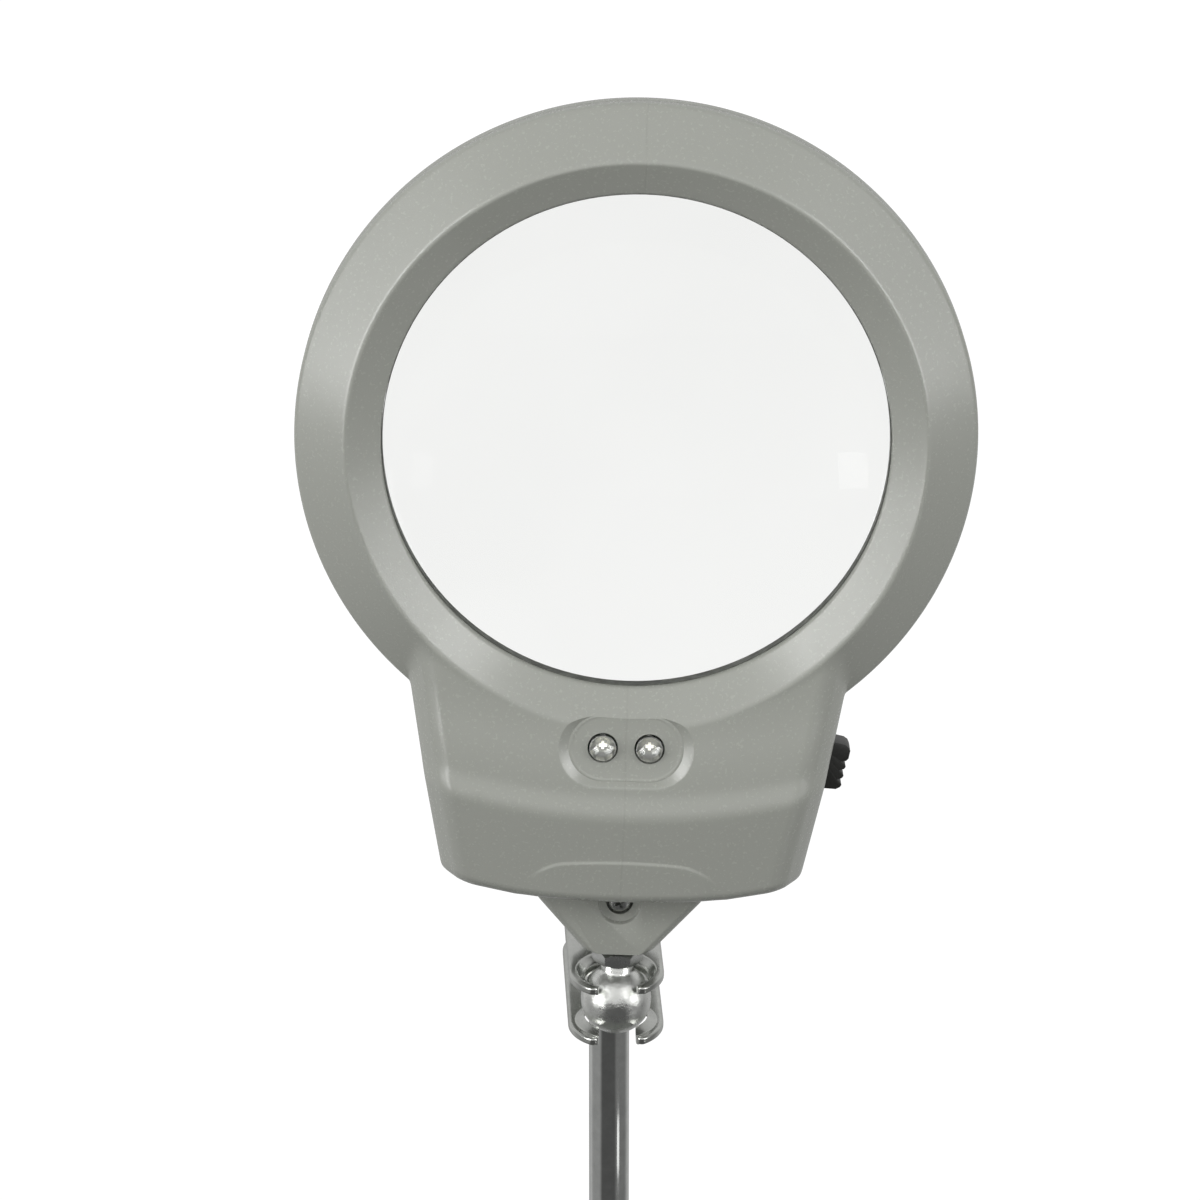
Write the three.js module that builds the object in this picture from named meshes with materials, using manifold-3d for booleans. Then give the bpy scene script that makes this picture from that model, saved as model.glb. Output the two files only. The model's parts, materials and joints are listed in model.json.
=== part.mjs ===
// A bench magnifying lamp: a lens in a ring-shaped head with two LEDs, held by a twin-ball clamp
// on an upright rod in a cast base. Millimetres, +Z up, front towards -Y, origin under the base.
import * as THREE from "three";
import { mergeVertices } from "three/addons/utils/BufferGeometryUtils.js";
import Module from "manifold-3d";

const wasm = await Module();
wasm.setup();

// ---------- driving dimensions ----------
const GAP = 0.3; // clearance kept between touching pieces
const WALL = 1.8; // housing wall

// Stand
const BASE = { width: 150, depth: 100, corner: 20, height: 12, bevel: 3, lift: 3 };
const ROD = { radius: 3.8, y: 25, spigot: 2.9 };
const BOSS = { radius: 11, height: 9 };
const FOOT = { radius: 8, sunk: 1.5 };
const BALL_CENTRE_Z = 165; // centre of the rod's ball
const NECK_LENGTH = 11; // ball centre to the rod's top

// Twin-ball clamp
const BALL_R = 6.4;
const NECK_R = 3;
const BALL_SPACING = 27.5;
const PLATE = { halfWidth: 8.7, inner: 4.4, thickness: 1.5, slot: 6.7, tip: 1.1 };
const DISH = { outer: 7.4, hole: 5.75, depth: 0.95 };
const CLAMP_PITCH = THREE.MathUtils.degToRad(6); // front end lower
const CLAMP_YAW = THREE.MathUtils.degToRad(2.5);
const STUD_R = 2.4; // M5 threads, drawn plain
const SCREW_R = 2; // M4
const NUT_AF = 8; // across flats
const CLAMP_SCREW_END = 12.8; // above the mid-plane between the plates
const WING = { hub: 4, hubTop: 4, span: 9.4, thick: 1.7, top: 7.1 };

// Head. Its own frame: X right, Y up, Z to the front, origin at the lens centre
const HEAD_ROLL = THREE.MathUtils.degToRad(1.8);
const LENS_ABOVE_BALL = 107.5;
const STUD_SETBACK = 8.5; // stud axis behind the ring's front edge
const STUD_TOP = 17.3; // above the ball's centre
const INSERT = { z0: 12, z1: 15.4 }; // nut buried in the tongue, above the ball's centre
const RING_R = 59.3;
const OPENING_R = 44.2;
const RIDGE = { r: 50.2, z: 6.5 };
const SPLIT = { front: -2.7, rear: -3.0 }; // parting plane between the two shells
const LENS = { radius: 45, edge: 2.5, mid: -1.9, curve: 190 };
const HANDLE = { topHalf: 38.9, topY: -41.5, sideHalf: 32.9, sideY: -75.8, bottomY: -83.7 };
const SIDE_TILT = Math.atan2(HANDLE.topHalf - HANDLE.sideHalf, HANDLE.topY - HANDLE.sideY);
const BACK_Z = -16.5; // back of the battery box
const LED = { x: 4.1, y: -54, r: 2.5, tip: 9, board: -1.0 };
const RECESS = { y: -54, halfWidth: 12, halfHeight: 6.7, floor: 7 };
const CELL = { r: 5.2, length: 44.5, z: -9.3, rows: [-53.9, -64.4, -74.9] };
const TONGUE = {
  topHalf: 14.8, shoulderY: -87.1, bottomHalf: 5.4, bottomY: -97.4, back: -13.2, split: -8.5, front: -3.6,
};
const CAP_TOP = -80.6;
const TONGUE_SCREW_Y = -87.4;
const SCREW_SUNK = 2.6; // depth of the seat under the tongue screw's head
const PILOT_R = 1.6; // holes for the housing's self-tapping screws
const SWITCH = { y: -59.6, z: -5.9, length: 9, depth: 4.8, proud: 3.9, travel: 3 };
const DOOR = { halfWidth: 23.6, top: -52.2, bottom: -78.8, thick: 1.5, barrel: 1.1, pin: 0.7, pinEnd: 25.2 };
const SCREW_SPOTS = [[50.4, 17], [0, 53.2], [-50.4, 17], [31.4, -47.6], [-31.4, -47.6]];

// ---------- materials ----------
const material = (color, roughness, metalness = 0) =>
  new THREE.MeshStandardMaterial({ color, roughness, metalness });
const GREY_ABS = material(0x9fa19b, 0.45);
const CHROME = material(0xc8cac8, 0.15, 1);
const ZINC = material(0xb9bbb6, 0.35, 1);
const CAST_IRON = material(0x6c6e6a, 0.6, 0.3);
const RUBBER = material(0x1c1c1a, 0.8);
const BLACK = material(0x1d1e1b, 0.5);
const GLASS = material(0xf2f4f3, 0.02);
const EPOXY = material(0xe6e8e4, 0.05);
const BOARD = material(0x2f5d3a, 0.5);
const CELL_SKIN = material(0x3c4046, 0.4);
const NICKEL = material(0xbfc0bd, 0.3, 1);
const RED_WIRE = material(0x8e1f1c, 0.5);
const BLACK_WIRE = material(0x1a1a1a, 0.5);

// ---------- solids ----------
function solid(geometry) {
  const g = geometry.index ? geometry.toNonIndexed() : geometry.clone();
  g.deleteAttribute("normal");
  g.deleteAttribute("uv");
  const merged = mergeVertices(g, 1e-4);
  return new wasm.Manifold(
    new wasm.Mesh({
      numProp: 3,
      vertProperties: merged.attributes.position.array,
      triVerts: new Uint32Array(merged.index.array),
    }),
  );
}

function geometryOf(manifold) {
  const mesh = manifold.getMesh();
  return new THREE.BufferGeometry()
    .setAttribute("position", new THREE.BufferAttribute(new Float32Array(mesh.vertProperties), 3))
    .setIndex(new THREE.BufferAttribute(new Uint32Array(mesh.triVerts), 1));
}

// A profile of [radius, height] pairs turned about Z. It starts and ends on the axis or closes on itself.
function turned(profile, segments = 32, closed = false) {
  const points = profile.map(([r, h]) => new THREE.Vector2(Math.max(r, 0), h));
  if (closed) points.push(points[0].clone());
  const make = (list) => solid(new THREE.LatheGeometry(list, segments).rotateX(Math.PI / 2));
  const made = make(points);
  return made.volume() > 0 ? made : make(points.reverse());
}

const cylinder = (radius, z0, z1, segments = 24) =>
  turned([[0, z0], [radius, z0], [radius, z1], [0, z1]], segments);

const tube = (outer, inner, z0, z1, segments = 24) =>
  turned([[inner, z0], [outer, z0], [outer, z1], [inner, z1]], segments, true);

function box(x0, x1, y0, y1, z0, z1) {
  const g = new THREE.BoxGeometry(x1 - x0, y1 - y0, z1 - z0);
  return solid(g.translate((x0 + x1) / 2, (y0 + y1) / 2, (z0 + z1) / 2));
}

function extruded(shape, z0, z1, curveSegments = 6) {
  const options = { depth: z1 - z0, bevelEnabled: false, curveSegments };
  return solid(new THREE.ExtrudeGeometry(shape, options).translate(0, 0, z0));
}

// A shape drawn in (Y, Z) and swept along X.
function sweptAlongX(shape, x0, x1, curveSegments = 6) {
  const options = { depth: x1 - x0, bevelEnabled: false, curveSegments };
  const g = new THREE.ExtrudeGeometry(shape, options);
  // shape x becomes Y, shape y becomes Z, depth becomes X
  const axes = new THREE.Matrix4().set(0, 0, 1, x0, 1, 0, 0, 0, 0, 1, 0, 0, 0, 0, 0, 1);
  return solid(g.applyMatrix4(axes));
}

function stadium(halfLength, radius) {
  const s = new THREE.Shape();
  s.absarc(halfLength, 0, radius, -Math.PI / 2, Math.PI / 2);
  s.absarc(-halfLength, 0, radius, Math.PI / 2, (3 * Math.PI) / 2);
  return s;
}

function hexagon(acrossFlats) {
  const r = acrossFlats / Math.sqrt(3);
  const corners = [0, 1, 2, 3, 4, 5].map(
    (i) => new THREE.Vector2(r * Math.cos((i * Math.PI) / 3), r * Math.sin((i * Math.PI) / 3)),
  );
  return new THREE.Shape(corners);
}

const hexNut = (acrossFlats, hole, z0, z1) =>
  extruded(hexagon(acrossFlats), z0, z1).subtract(cylinder(hole, z0 - 1, z1 + 1, 20));

function mesh(name, shape, look) {
  const made = new THREE.Mesh(shape.isBufferGeometry ? shape : geometryOf(shape), look);
  made.name = name;
  return made;
}

function group(children, position = [0, 0, 0], rotation = [0, 0, 0]) {
  const made = new THREE.Group();
  made.position.set(...position);
  made.rotation.set(...rotation);
  made.add(...children);
  return made;
}

// ---------- stand ----------
const BASE_TOP = BASE.lift + BASE.height;
const BOSS_TOP = BASE_TOP + BOSS.height;
const WASHER_TOP = BOSS_TOP + GAP + 1.2;

function roundedRectangle(width, depth, corner) {
  const x = width / 2 - corner;
  const y = depth / 2 - corner;
  const s = new THREE.Shape();
  s.absarc(x, y, corner, 0, Math.PI / 2);
  s.absarc(-x, y, corner, Math.PI / 2, Math.PI);
  s.absarc(-x, -y, corner, Math.PI, (3 * Math.PI) / 2);
  s.absarc(x, -y, corner, (3 * Math.PI) / 2, 2 * Math.PI);
  return s;
}

const FOOT_SPOTS = {
  foot_front_left: [-55, -32],
  foot_front_right: [55, -32],
  foot_rear_left: [-55, 32],
  foot_rear_right: [55, 32],
};

function baseCasting() {
  const { width, depth, corner, height, bevel, lift } = BASE;
  const inset = 2 * bevel;
  const shape = roundedRectangle(width - inset, depth - inset, corner - bevel);
  const options = {
    depth: height - bevel, bevelThickness: bevel, bevelSize: bevel, bevelSegments: 2, curveSegments: 6,
  };
  const slab = solid(new THREE.ExtrudeGeometry(shape, options).translate(0, 0, lift))
    .subtract(box(-width, width, -depth, depth, -20, lift));
  const boss = turned([
    [0, BASE_TOP - 2], [BOSS.radius + 4, BASE_TOP - 2], [BOSS.radius + 4, BASE_TOP],
    [BOSS.radius + 1, BASE_TOP + 2], [BOSS.radius, BOSS_TOP - 1], [BOSS.radius - 1, BOSS_TOP], [0, BOSS_TOP],
  ], 30).translate([0, ROD.y, 0]);
  let made = slab.add(boss);
  made = made.subtract(cylinder(ROD.spigot + GAP, 0, 60).translate([0, ROD.y, 0]));
  made = made.subtract(cylinder(8.5, 0, lift + 7).translate([0, ROD.y, 0]));
  for (const [x, y] of Object.values(FOOT_SPOTS))
    made = made.subtract(cylinder(FOOT.radius + GAP, 0, lift + FOOT.sunk).translate([x, y, 0]));
  return made;
}

function foot() {
  const top = BASE.lift + FOOT.sunk - GAP;
  return turned([[0, 0], [FOOT.radius - 1.2, 0], [FOOT.radius, 1.2], [FOOT.radius, top], [0, top]], 24);
}

function rod() {
  const top = BALL_CENTRE_Z - NECK_LENGTH - GAP;
  const outside = turned([
    [0, BASE.lift + 1.2], [ROD.spigot, BASE.lift + 1.2], [ROD.spigot, WASHER_TOP + GAP],
    [ROD.radius - 0.5, WASHER_TOP + GAP], [ROD.radius, WASHER_TOP + GAP + 0.5],
    [ROD.radius, top - 0.5], [ROD.radius - 0.5, top], [0, top],
  ], 32);
  return outside.subtract(cylinder(STUD_R + GAP, top - 10.5, top + 5));
}

// A ball on a neck, with a thinner stud beyond it. The ball's centre is the origin, the stud points along +Z.
function ballStud(neckTop, studTop) {
  const profile = [];
  const start = Math.asin(NECK_R / BALL_R);
  for (let i = 0; i <= 10; i++) {
    const a = Math.PI - (i / 10) * (Math.PI - start);
    profile.push([i ? BALL_R * Math.sin(a) : 0, BALL_R * Math.cos(a)]);
  }
  profile.push([NECK_R, neckTop - 0.3], [NECK_R - 0.3, neckTop], [STUD_R, neckTop]);
  profile.push([STUD_R, studTop - 0.6], [STUD_R - 0.6, studTop], [0, studTop]);
  return turned(profile, 24);
}

function stand() {
  const feet = Object.entries(FOOT_SPOTS).map(([name, [x, y]]) => {
    const made = mesh(name, foot(), RUBBER);
    made.position.set(x, y, 0);
    return made;
  });
  const under = BASE.lift + 7;
  return group([
    mesh("base_casting", baseCasting(), CAST_IRON),
    ...feet,
    group([
      mesh("rod", rod(), CHROME),
      mesh("rod_washer", tube(7.5, ROD.spigot + GAP, BOSS_TOP + GAP, WASHER_TOP), ZINC),
      mesh("rod_spring_washer", tube(5.5, ROD.spigot + GAP, under - GAP - 1.4, under - GAP), ZINC),
      mesh("rod_nut", hexNut(10, ROD.spigot + GAP, under - 2 * GAP - 4.6, under - 2 * GAP - 1.4), ZINC),
    ], [0, ROD.y, 0]),
  ]);
}

// ---------- clamp: origin midway between the balls, Y towards the rod's ball, Z across the plates ----------
const HALF = BALL_SPACING / 2;
const PLATE_TOP = PLATE.inner + PLATE.thickness;

// The outline of one plate, seen along Z: a long oval with a notch for the neck at each end.
function plateOutline() {
  const { halfWidth, slot, tip } = PLATE;
  const notch = slot / 2;
  const tipX = notch + tip;
  const tipY = Math.sqrt((halfWidth - tip) ** 2 - tipX ** 2);
  const lean = Math.atan2(tipY, tipX);
  const s = new THREE.Shape();
  const oneEnd = (turn) => {
    const cy = turn ? -HALF : HALF;
    const sign = turn ? -1 : 1;
    s.absarc(0, cy, halfWidth, turn, turn + lean);
    s.absarc(sign * tipX, cy + sign * tipY, tip, turn + lean, turn + Math.PI);
    s.lineTo(sign * notch, cy);
    s.lineTo(-sign * notch, cy);
    s.absarc(-sign * tipX, cy + sign * tipY, tip, turn, turn + Math.PI - lean);
    s.absarc(0, cy, halfWidth, turn + Math.PI - lean, turn + Math.PI);
  };
  oneEnd(0);
  oneEnd(Math.PI);
  return s;
}

// A plate whose ball seats are pressed inwards, towards the balls.
function clampPlate() {
  const { inner } = PLATE;
  const { outer, hole, depth } = DISH;
  let sheet = box(-20, 20, -HALF - 20, HALF + 20, inner, PLATE_TOP);
  for (const y of [-HALF, HALF]) {
    const dish = turned([
      [outer + 0.5, inner], [outer + 0.5, PLATE_TOP], [outer, PLATE_TOP], [hole + 0.2, PLATE_TOP - depth],
      [hole, PLATE_TOP - depth - 0.2], [hole, inner - depth], [outer, inner],
    ], 28, true);
    sheet = sheet.subtract(cylinder(outer + 0.2, 0, 20, 28).translate([0, y, 0]));
    sheet = sheet.add(dish.translate([0, y, 0]));
  }
  const bolt = cylinder(SCREW_R + GAP, 0, 20);
  return sheet.intersect(extruded(plateOutline(), 0, 20, 6)).subtract(bolt);
}

function clampScrew() {
  const head = PLATE_TOP + GAP;
  return turned([
    [0, -head - 2.6], [2.6, -head - 2.4], [4.4, -head - 1.2], [4.8, -head], [SCREW_R, -head],
    [SCREW_R, CLAMP_SCREW_END - 0.5], [SCREW_R - 0.5, CLAMP_SCREW_END], [0, CLAMP_SCREW_END],
  ], 24);
}

function wingNut() {
  const { hub, hubTop, span, thick, top } = WING;
  const ear = new THREE.Shape();
  ear.moveTo(0, 0.8);
  ear.lineTo(hub, 1);
  ear.quadraticCurveTo(span - 1, 2.4, span, top - 2);
  ear.quadraticCurveTo(span, top, span - 2, top);
  ear.quadraticCurveTo(span - 4, top, hub - 0.4, hubTop - 0.6);
  ear.lineTo(0, hubTop - 0.6);
  const wing = extruded(ear, -thick / 2, thick / 2).rotate([90, 0, 0]);
  const body = turned([[0, 0], [hub, 0], [hub - 0.8, hubTop], [0, hubTop]], 24);
  return body.add(wing).add(wing.rotate([0, 0, 180])).subtract(cylinder(SCREW_R + GAP, -1, 30, 20));
}

function clamp() {
  const washerBase = PLATE_TOP + GAP;
  const nut = mesh("wing_nut", wingNut(), ZINC);
  nut.position.z = washerBase + 1 + GAP;
  nut.rotation.z = THREE.MathUtils.degToRad(4);
  return group([
    mesh("clamp_plate_upper", clampPlate(), CHROME),
    mesh("clamp_plate_lower", clampPlate().rotate([0, 180, 0]), CHROME),
    mesh("clamp_screw", clampScrew(), ZINC),
    mesh("clamp_washer", tube(5.2, SCREW_R + GAP, washerBase, washerBase + 1), ZINC),
    nut,
  ]);
}

// ---------- head ----------
// The handle's outline under the ring, moved inwards by inset.
function handleOutline(inset = 0) {
  const { topHalf, topY, sideHalf, sideY, bottomY } = HANDLE;
  const s = new THREE.Shape();
  const top = topHalf - inset * 1.02;
  const side = sideHalf - inset * 1.02;
  const bottom = bottomY + inset;
  s.moveTo(top, topY);
  s.lineTo(side, sideY);
  s.quadraticCurveTo(side - 0.9, bottom + 2.9, side - 5.4, bottom + 2.2);
  s.lineTo(18.8, bottom + 1.1);
  s.quadraticCurveTo(9, bottom, 0, bottom);
  s.quadraticCurveTo(-9, bottom, -18.8, bottom + 1.1);
  s.lineTo(5.4 - side, bottom + 2.2);
  s.quadraticCurveTo(0.9 - side, bottom + 2.9, -side, sideY);
  s.lineTo(-top, topY);
  return s;
}

// Side view of the handle's front, (Y, Z): rises to a crease below the LEDs and falls to the bottom edge.
function handleFrontProfile(inset = 0) {
  const s = new THREE.Shape();
  s.moveTo(-40, SPLIT.front - inset);
  s.lineTo(-40, 4.4 - inset);
  s.quadraticCurveTo(-49, 7.4 - inset, -54, 8.4 - inset);
  s.lineTo(-62, 9.6 - inset);
  s.quadraticCurveTo(-64.5, 10 - inset, -67, 9.3 - inset);
  s.lineTo(-80.5, 5.2 - inset);
  s.quadraticCurveTo(-84, 4 - inset, -84.5, 0 - inset);
  s.lineTo(-84.5, SPLIT.front - inset);
  return s;
}

function handleRearProfile(inset = 0) {
  const s = new THREE.Shape();
  s.moveTo(-40, SPLIT.rear + inset);
  s.lineTo(-84.5, SPLIT.rear + inset);
  s.lineTo(-84.5, -12 + inset);
  s.quadraticCurveTo(-84.3, BACK_Z + inset, -79.5, BACK_Z + inset);
  s.lineTo(-51.5, BACK_Z + inset);
  s.quadraticCurveTo(-48, BACK_Z + 1 + inset, -46.5, -9.3 + inset);
  s.lineTo(-40, -9.3 + inset);
  return s;
}

// Everything in front of the inner cone and inside the opening, which the ring keeps clear.
const coneClearance = () =>
  turned([[0, -30], [OPENING_R, -30], [OPENING_R, 2.6], [RIDGE.r, 6.8], [62, 15.3], [62, 30], [0, 30]], 60);

const atSpot = (shape, [x, y]) => shape.translate([x, y, 0]);

function frontHousing() {
  const inner = LENS.radius + GAP;
  const ring = turned([
    [OPENING_R, 2.6], [RIDGE.r - 0.8, RIDGE.z - 0.4], [RIDGE.r, RIDGE.z], [RIDGE.r + 0.8, RIDGE.z - 0.4],
    [RING_R - 0.8, 0.3], [RING_R, -0.8], [RING_R, SPLIT.front], [RING_R - WALL, SPLIT.front],
    [RING_R - WALL, -1.1], [RIDGE.r, RIDGE.z - 2.3], [inner + 1.5, 1.6], [inner + 1.5, SPLIT.front],
    [inner, SPLIT.front], [inner, -0.3], [OPENING_R, -0.3],
  ], 60, true);
  const outer = extruded(handleOutline(), SPLIT.front, 20)
    .intersect(sweptAlongX(handleFrontProfile(), -50, 50));
  const cavity = extruded(handleOutline(WALL), SPLIT.front - 5, 20)
    .intersect(sweptAlongX(handleFrontProfile(WALL), -50, 50)
      .add(box(-50, 50, -84, -40, SPLIT.front - 5, SPLIT.front + 1)))
    .subtract(cylinder(RING_R - 6, -20, 20, 60));
  const ringHollow = turned([
    [inner + 1.5, SPLIT.front - 2], [RING_R - WALL, SPLIT.front - 2], [RING_R - WALL, -1.1],
    [RIDGE.r, RIDGE.z - 2.3], [inner + 1.5, 1.6],
  ], 60, true);
  let made = ring.add(outer.subtract(coneClearance()).subtract(cylinder(inner, -20, 2, 60)));
  made = made.subtract(cavity).subtract(ringHollow.subtract(cylinder(inner + 1.5, -20, 20, 60)));
  // LED recess: a sloping oval with a floor and two holes
  const { halfWidth, halfHeight, floor } = RECESS;
  const [slopeRun, slopeRise] = [0.8, 1.2];
  const mouth = solid(new THREE.ExtrudeGeometry(stadium(halfWidth - halfHeight, halfHeight - slopeRun), {
    depth: 12, bevelThickness: slopeRise, bevelSize: slopeRun, bevelSegments: 1, curveSegments: 8,
  }).translate(0, RECESS.y, floor + slopeRise));
  const pan = extruded(stadium(halfWidth - halfHeight, halfHeight + 0.6), floor - WALL, 8.2, 8)
    .translate([0, RECESS.y, 0]);
  made = made.add(pan.subtract(coneClearance())).subtract(mouth);
  for (const x of [-LED.x, LED.x])
    made = made.subtract(cylinder(LED.r + 0.35, -5, 12, 20).translate([x, LED.y, 0]));
  const ringFill = turned([
    [inner + 1.5, SPLIT.front], [RING_R, SPLIT.front], [RING_R, -0.8], [RIDGE.r, RIDGE.z], [inner + 1.5, 4.4],
  ], 60, true);
  const filled = outer.subtract(coneClearance()).add(ringFill);
  for (const spot of SCREW_SPOTS) {
    made = made.add(atSpot(cylinder(2.8, SPLIT.front, 20, 16), spot).intersect(filled));
    made = made.subtract(atSpot(cylinder(PILOT_R, SPLIT.front - 1, 0.9, 16), spot));
  }
  return made;
}

const tongueShape = (top, inset = 0) => {
  const { topHalf, shoulderY, bottomHalf, bottomY } = TONGUE;
  const s = new THREE.Shape();
  s.moveTo(-topHalf + inset, top);
  s.lineTo(-topHalf + inset, shoulderY);
  s.lineTo(-bottomHalf - 0.8 + inset, bottomY + 1);
  s.quadraticCurveTo(-bottomHalf + 0.6 + inset, bottomY + inset, -bottomHalf + 2.2, bottomY + inset);
  s.lineTo(bottomHalf - 2.2, bottomY + inset);
  s.quadraticCurveTo(bottomHalf - 0.6 - inset, bottomY + inset, bottomHalf + 0.8 - inset, bottomY + 1);
  s.lineTo(topHalf - inset, shoulderY);
  s.lineTo(topHalf - inset, top);
  return s;
};

// Room for the stud and its buried nut, in the head's frame.
function studRoom() {
  const stud = cylinder(STUD_R + GAP, 0, STUD_TOP + GAP + 0.2, 20);
  const pocket = extruded(hexagon(NUT_AF + 0.7), INSERT.z0 - GAP, INSERT.z1 + GAP);
  return stud.add(pocket).rotate([-90, 0, 0]).translate([0, -LENS_ABOVE_BALL, -STUD_SETBACK]);
}

function rearHousing() {
  const ring = turned([
    [RING_R, SPLIT.rear], [RING_R, -4.9], [RING_R - 1.5, -7.5], [54, -9.2], [49, -9.5], [46, -9.2],
    [44.8, -8], [44.8, -4.9], [46.9, -4.9], [46.9, SPLIT.rear], [48.4, SPLIT.rear], [48.4, -7.7],
    [53.6, -7.5], [RING_R - 3, -6.2], [RING_R - WALL, -4.6], [RING_R - WALL, SPLIT.rear],
  ], 60, true);
  const outer = extruded(handleOutline(), -30, SPLIT.rear)
    .intersect(sweptAlongX(handleRearProfile(), -50, 50));
  const cavity = extruded(handleOutline(WALL), -30, 10)
    .intersect(sweptAlongX(handleRearProfile(WALL), -50, 50).add(box(-50, 50, -84, -40, SPLIT.rear - 1, 5)));
  const opening = cylinder(48.4, -40, 20, 60);
  let made = outer.subtract(cavity).subtract(opening).add(ring);
  made = made.subtract(cavity.subtract(opening));
  // tongue's rear half, and room for its cap
  const { split, back } = TONGUE;
  made = made.add(extruded(tongueShape(-82.2), back, split - GAP / 2));
  made = made.subtract(extruded(tongueShape(CAP_TOP + 0.3, -GAP), split - GAP / 2, SPLIT.rear + 2));
  made = made.subtract(studRoom());
  made = made.subtract(cylinder(PILOT_R, back + 1.2, 0, 16).translate([0, TONGUE_SCREW_Y, 0]));
  // battery door's opening, and blocks that hold its hinge pins
  const hingeY = DOOR.bottom + DOOR.barrel;
  const hingeZ = BACK_Z + DOOR.barrel;
  for (const side of [-1, 1]) {
    const [x0, x1] = [DOOR.halfWidth + GAP, DOOR.pinEnd + 1].map((x) => x * side).sort((a, b) => a - b);
    made = made.add(box(x0, x1, hingeY - 1.8, hingeY + 1.8, BACK_Z + 1, hingeZ + 1.8));
  }
  const doorHalf = DOOR.halfWidth + GAP;
  made = made.subtract(box(-doorHalf, doorHalf, DOOR.bottom - GAP, DOOR.top + GAP, -25, -13));
  const sockets = cylinder(DOOR.pin + GAP, -DOOR.pinEnd - GAP, DOOR.pinEnd + GAP, 16);
  made = made.subtract(sockets.rotate([0, 90, 0]).translate([0, hingeY, hingeZ]));
  // slot for the switch knob
  made = made.subtract(knobFrame(box(-6, 6, -SWITCH.length / 2 - SWITCH.travel - 0.5, SWITCH.length / 2 + 0.5,
    SWITCH.z - SWITCH.depth / 2 - 0.4, SWITCH.z + SWITCH.depth / 2 + 0.4)));
  const filled = turned([
    [47, SPLIT.rear], [47, -9.3], [49, -9.5], [54, -9.2], [RING_R - 1.5, -7.5], [RING_R, -4.9],
    [RING_R, SPLIT.rear],
  ], 60, true).add(outer);
  for (const spot of SCREW_SPOTS) {
    made = made.add(atSpot(cylinder(4, -30, SPLIT.rear, 16), spot).intersect(filled));
    made = made.subtract(atSpot(cylinder(2.9, -30, -6.6, 16), spot));
    made = made.subtract(atSpot(cylinder(PILOT_R, -30, 0, 16), spot));
  }
  return made;
}

// Moves a shape drawn with X out of the right-hand wall and Y up along it to its place on that wall.
function knobFrame(shape) {
  const along = (HANDLE.topY - SWITCH.y) / Math.cos(SIDE_TILT);
  const x = HANDLE.topHalf - along * Math.sin(SIDE_TILT);
  return shape.rotate([0, 0, -THREE.MathUtils.radToDeg(SIDE_TILT)]).translate([x, SWITCH.y, 0]);
}

function switchKnob() {
  const half = SWITCH.length / 2;
  const { proud, depth, z } = SWITCH;
  const tooth = 1.75;
  const s = new THREE.Shape();
  s.moveTo(-4.2, -half);
  s.lineTo(0, -half);
  s.lineTo(proud - 0.9, -half + 0.5);
  for (let i = 0; i < 3; i++) {
    const y = -half + 0.5 + i * tooth;
    s.lineTo(proud - 0.2, y + 0.6);
    s.lineTo(proud - 0.5, y + tooth);
    s.lineTo(proud - 1.1, y + tooth);
  }
  s.lineTo(proud, half - 2.9);
  s.lineTo(proud, half - 1.1);
  s.lineTo(proud - 0.6, half - 0.5);
  s.lineTo(0, half);
  s.lineTo(-4.2, half);
  return knobFrame(extruded(s, z - depth / 2, z + depth / 2));
}

function batteryDoor() {
  const { halfWidth, top, bottom, thick, barrel, pin, pinEnd } = DOOR;
  const barrelSolid = cylinder(barrel, -halfWidth, halfWidth, 16).add(cylinder(pin, -pinEnd, pinEnd, 16));
  let made = box(-halfWidth, halfWidth, bottom + barrel, top, BACK_Z, BACK_Z + thick)
    .add(barrelSolid.rotate([0, 90, 0]).translate([0, bottom + barrel, BACK_Z + barrel]));
  for (let i = 0; i < 5; i++) {
    const y = top - 4 - i * 1.8;
    made = made.subtract(box(-7, 7, y - 0.45, y + 0.45, BACK_Z - 1, BACK_Z + 0.5));
  }
  return made;
}

function lens() {
  const { radius, edge, mid, curve } = LENS;
  const steps = 5;
  const sag = (r) => Math.sqrt(curve ** 2 - r ** 2) - Math.sqrt(curve ** 2 - radius ** 2);
  const face = [];
  for (let i = 0; i <= steps; i++) face.push([(radius * i) / steps, edge / 2 + sag((radius * i) / steps)]);
  const back = face.map(([r, h]) => [r, -h]).reverse();
  return turned([...face, ...back].map(([r, h]) => [r, h + mid]), 48);
}

function led() {
  const { r, tip, board } = LED;
  const profile = [
    [0, board + GAP], [r + 0.2, board + GAP], [r + 0.2, board + 1.2], [r, board + 1.4], [r, tip - r],
  ];
  for (let i = 1; i <= 5; i++) {
    const a = (i / 5) * (Math.PI / 2);
    profile.push([i < 5 ? r * Math.cos(a) : 0, tip - r + r * Math.sin(a)]);
  }
  return turned(profile, 14);
}

const resistor = () =>
  cylinder(1.1, -3.2, 3.2, 12).rotate([0, 90, 0]).translate([0, -59, LED.board + 1.5]);

// Axis along X, centred on the origin, plus end to the right.
function cell() {
  const half = CELL.length / 2;
  const profile = [[0, -half], [4.6, -half], [CELL.r, -half + 0.6], [CELL.r, half - 1.6],
    [4.6, half - 1], [1.9, half - 1], [1.9, half], [0, half]];
  return turned(profile, 20).rotate([0, 90, 0]);
}

class Coil extends THREE.Curve {
  getPoint(t, target = new THREE.Vector3()) {
    const a = t * 3 * 2 * Math.PI;
    const r = 3.4 - 1.4 * t;
    return target.set(0.6 + t * 2.6, r * Math.cos(a), r * Math.sin(a));
  }
}

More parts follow.
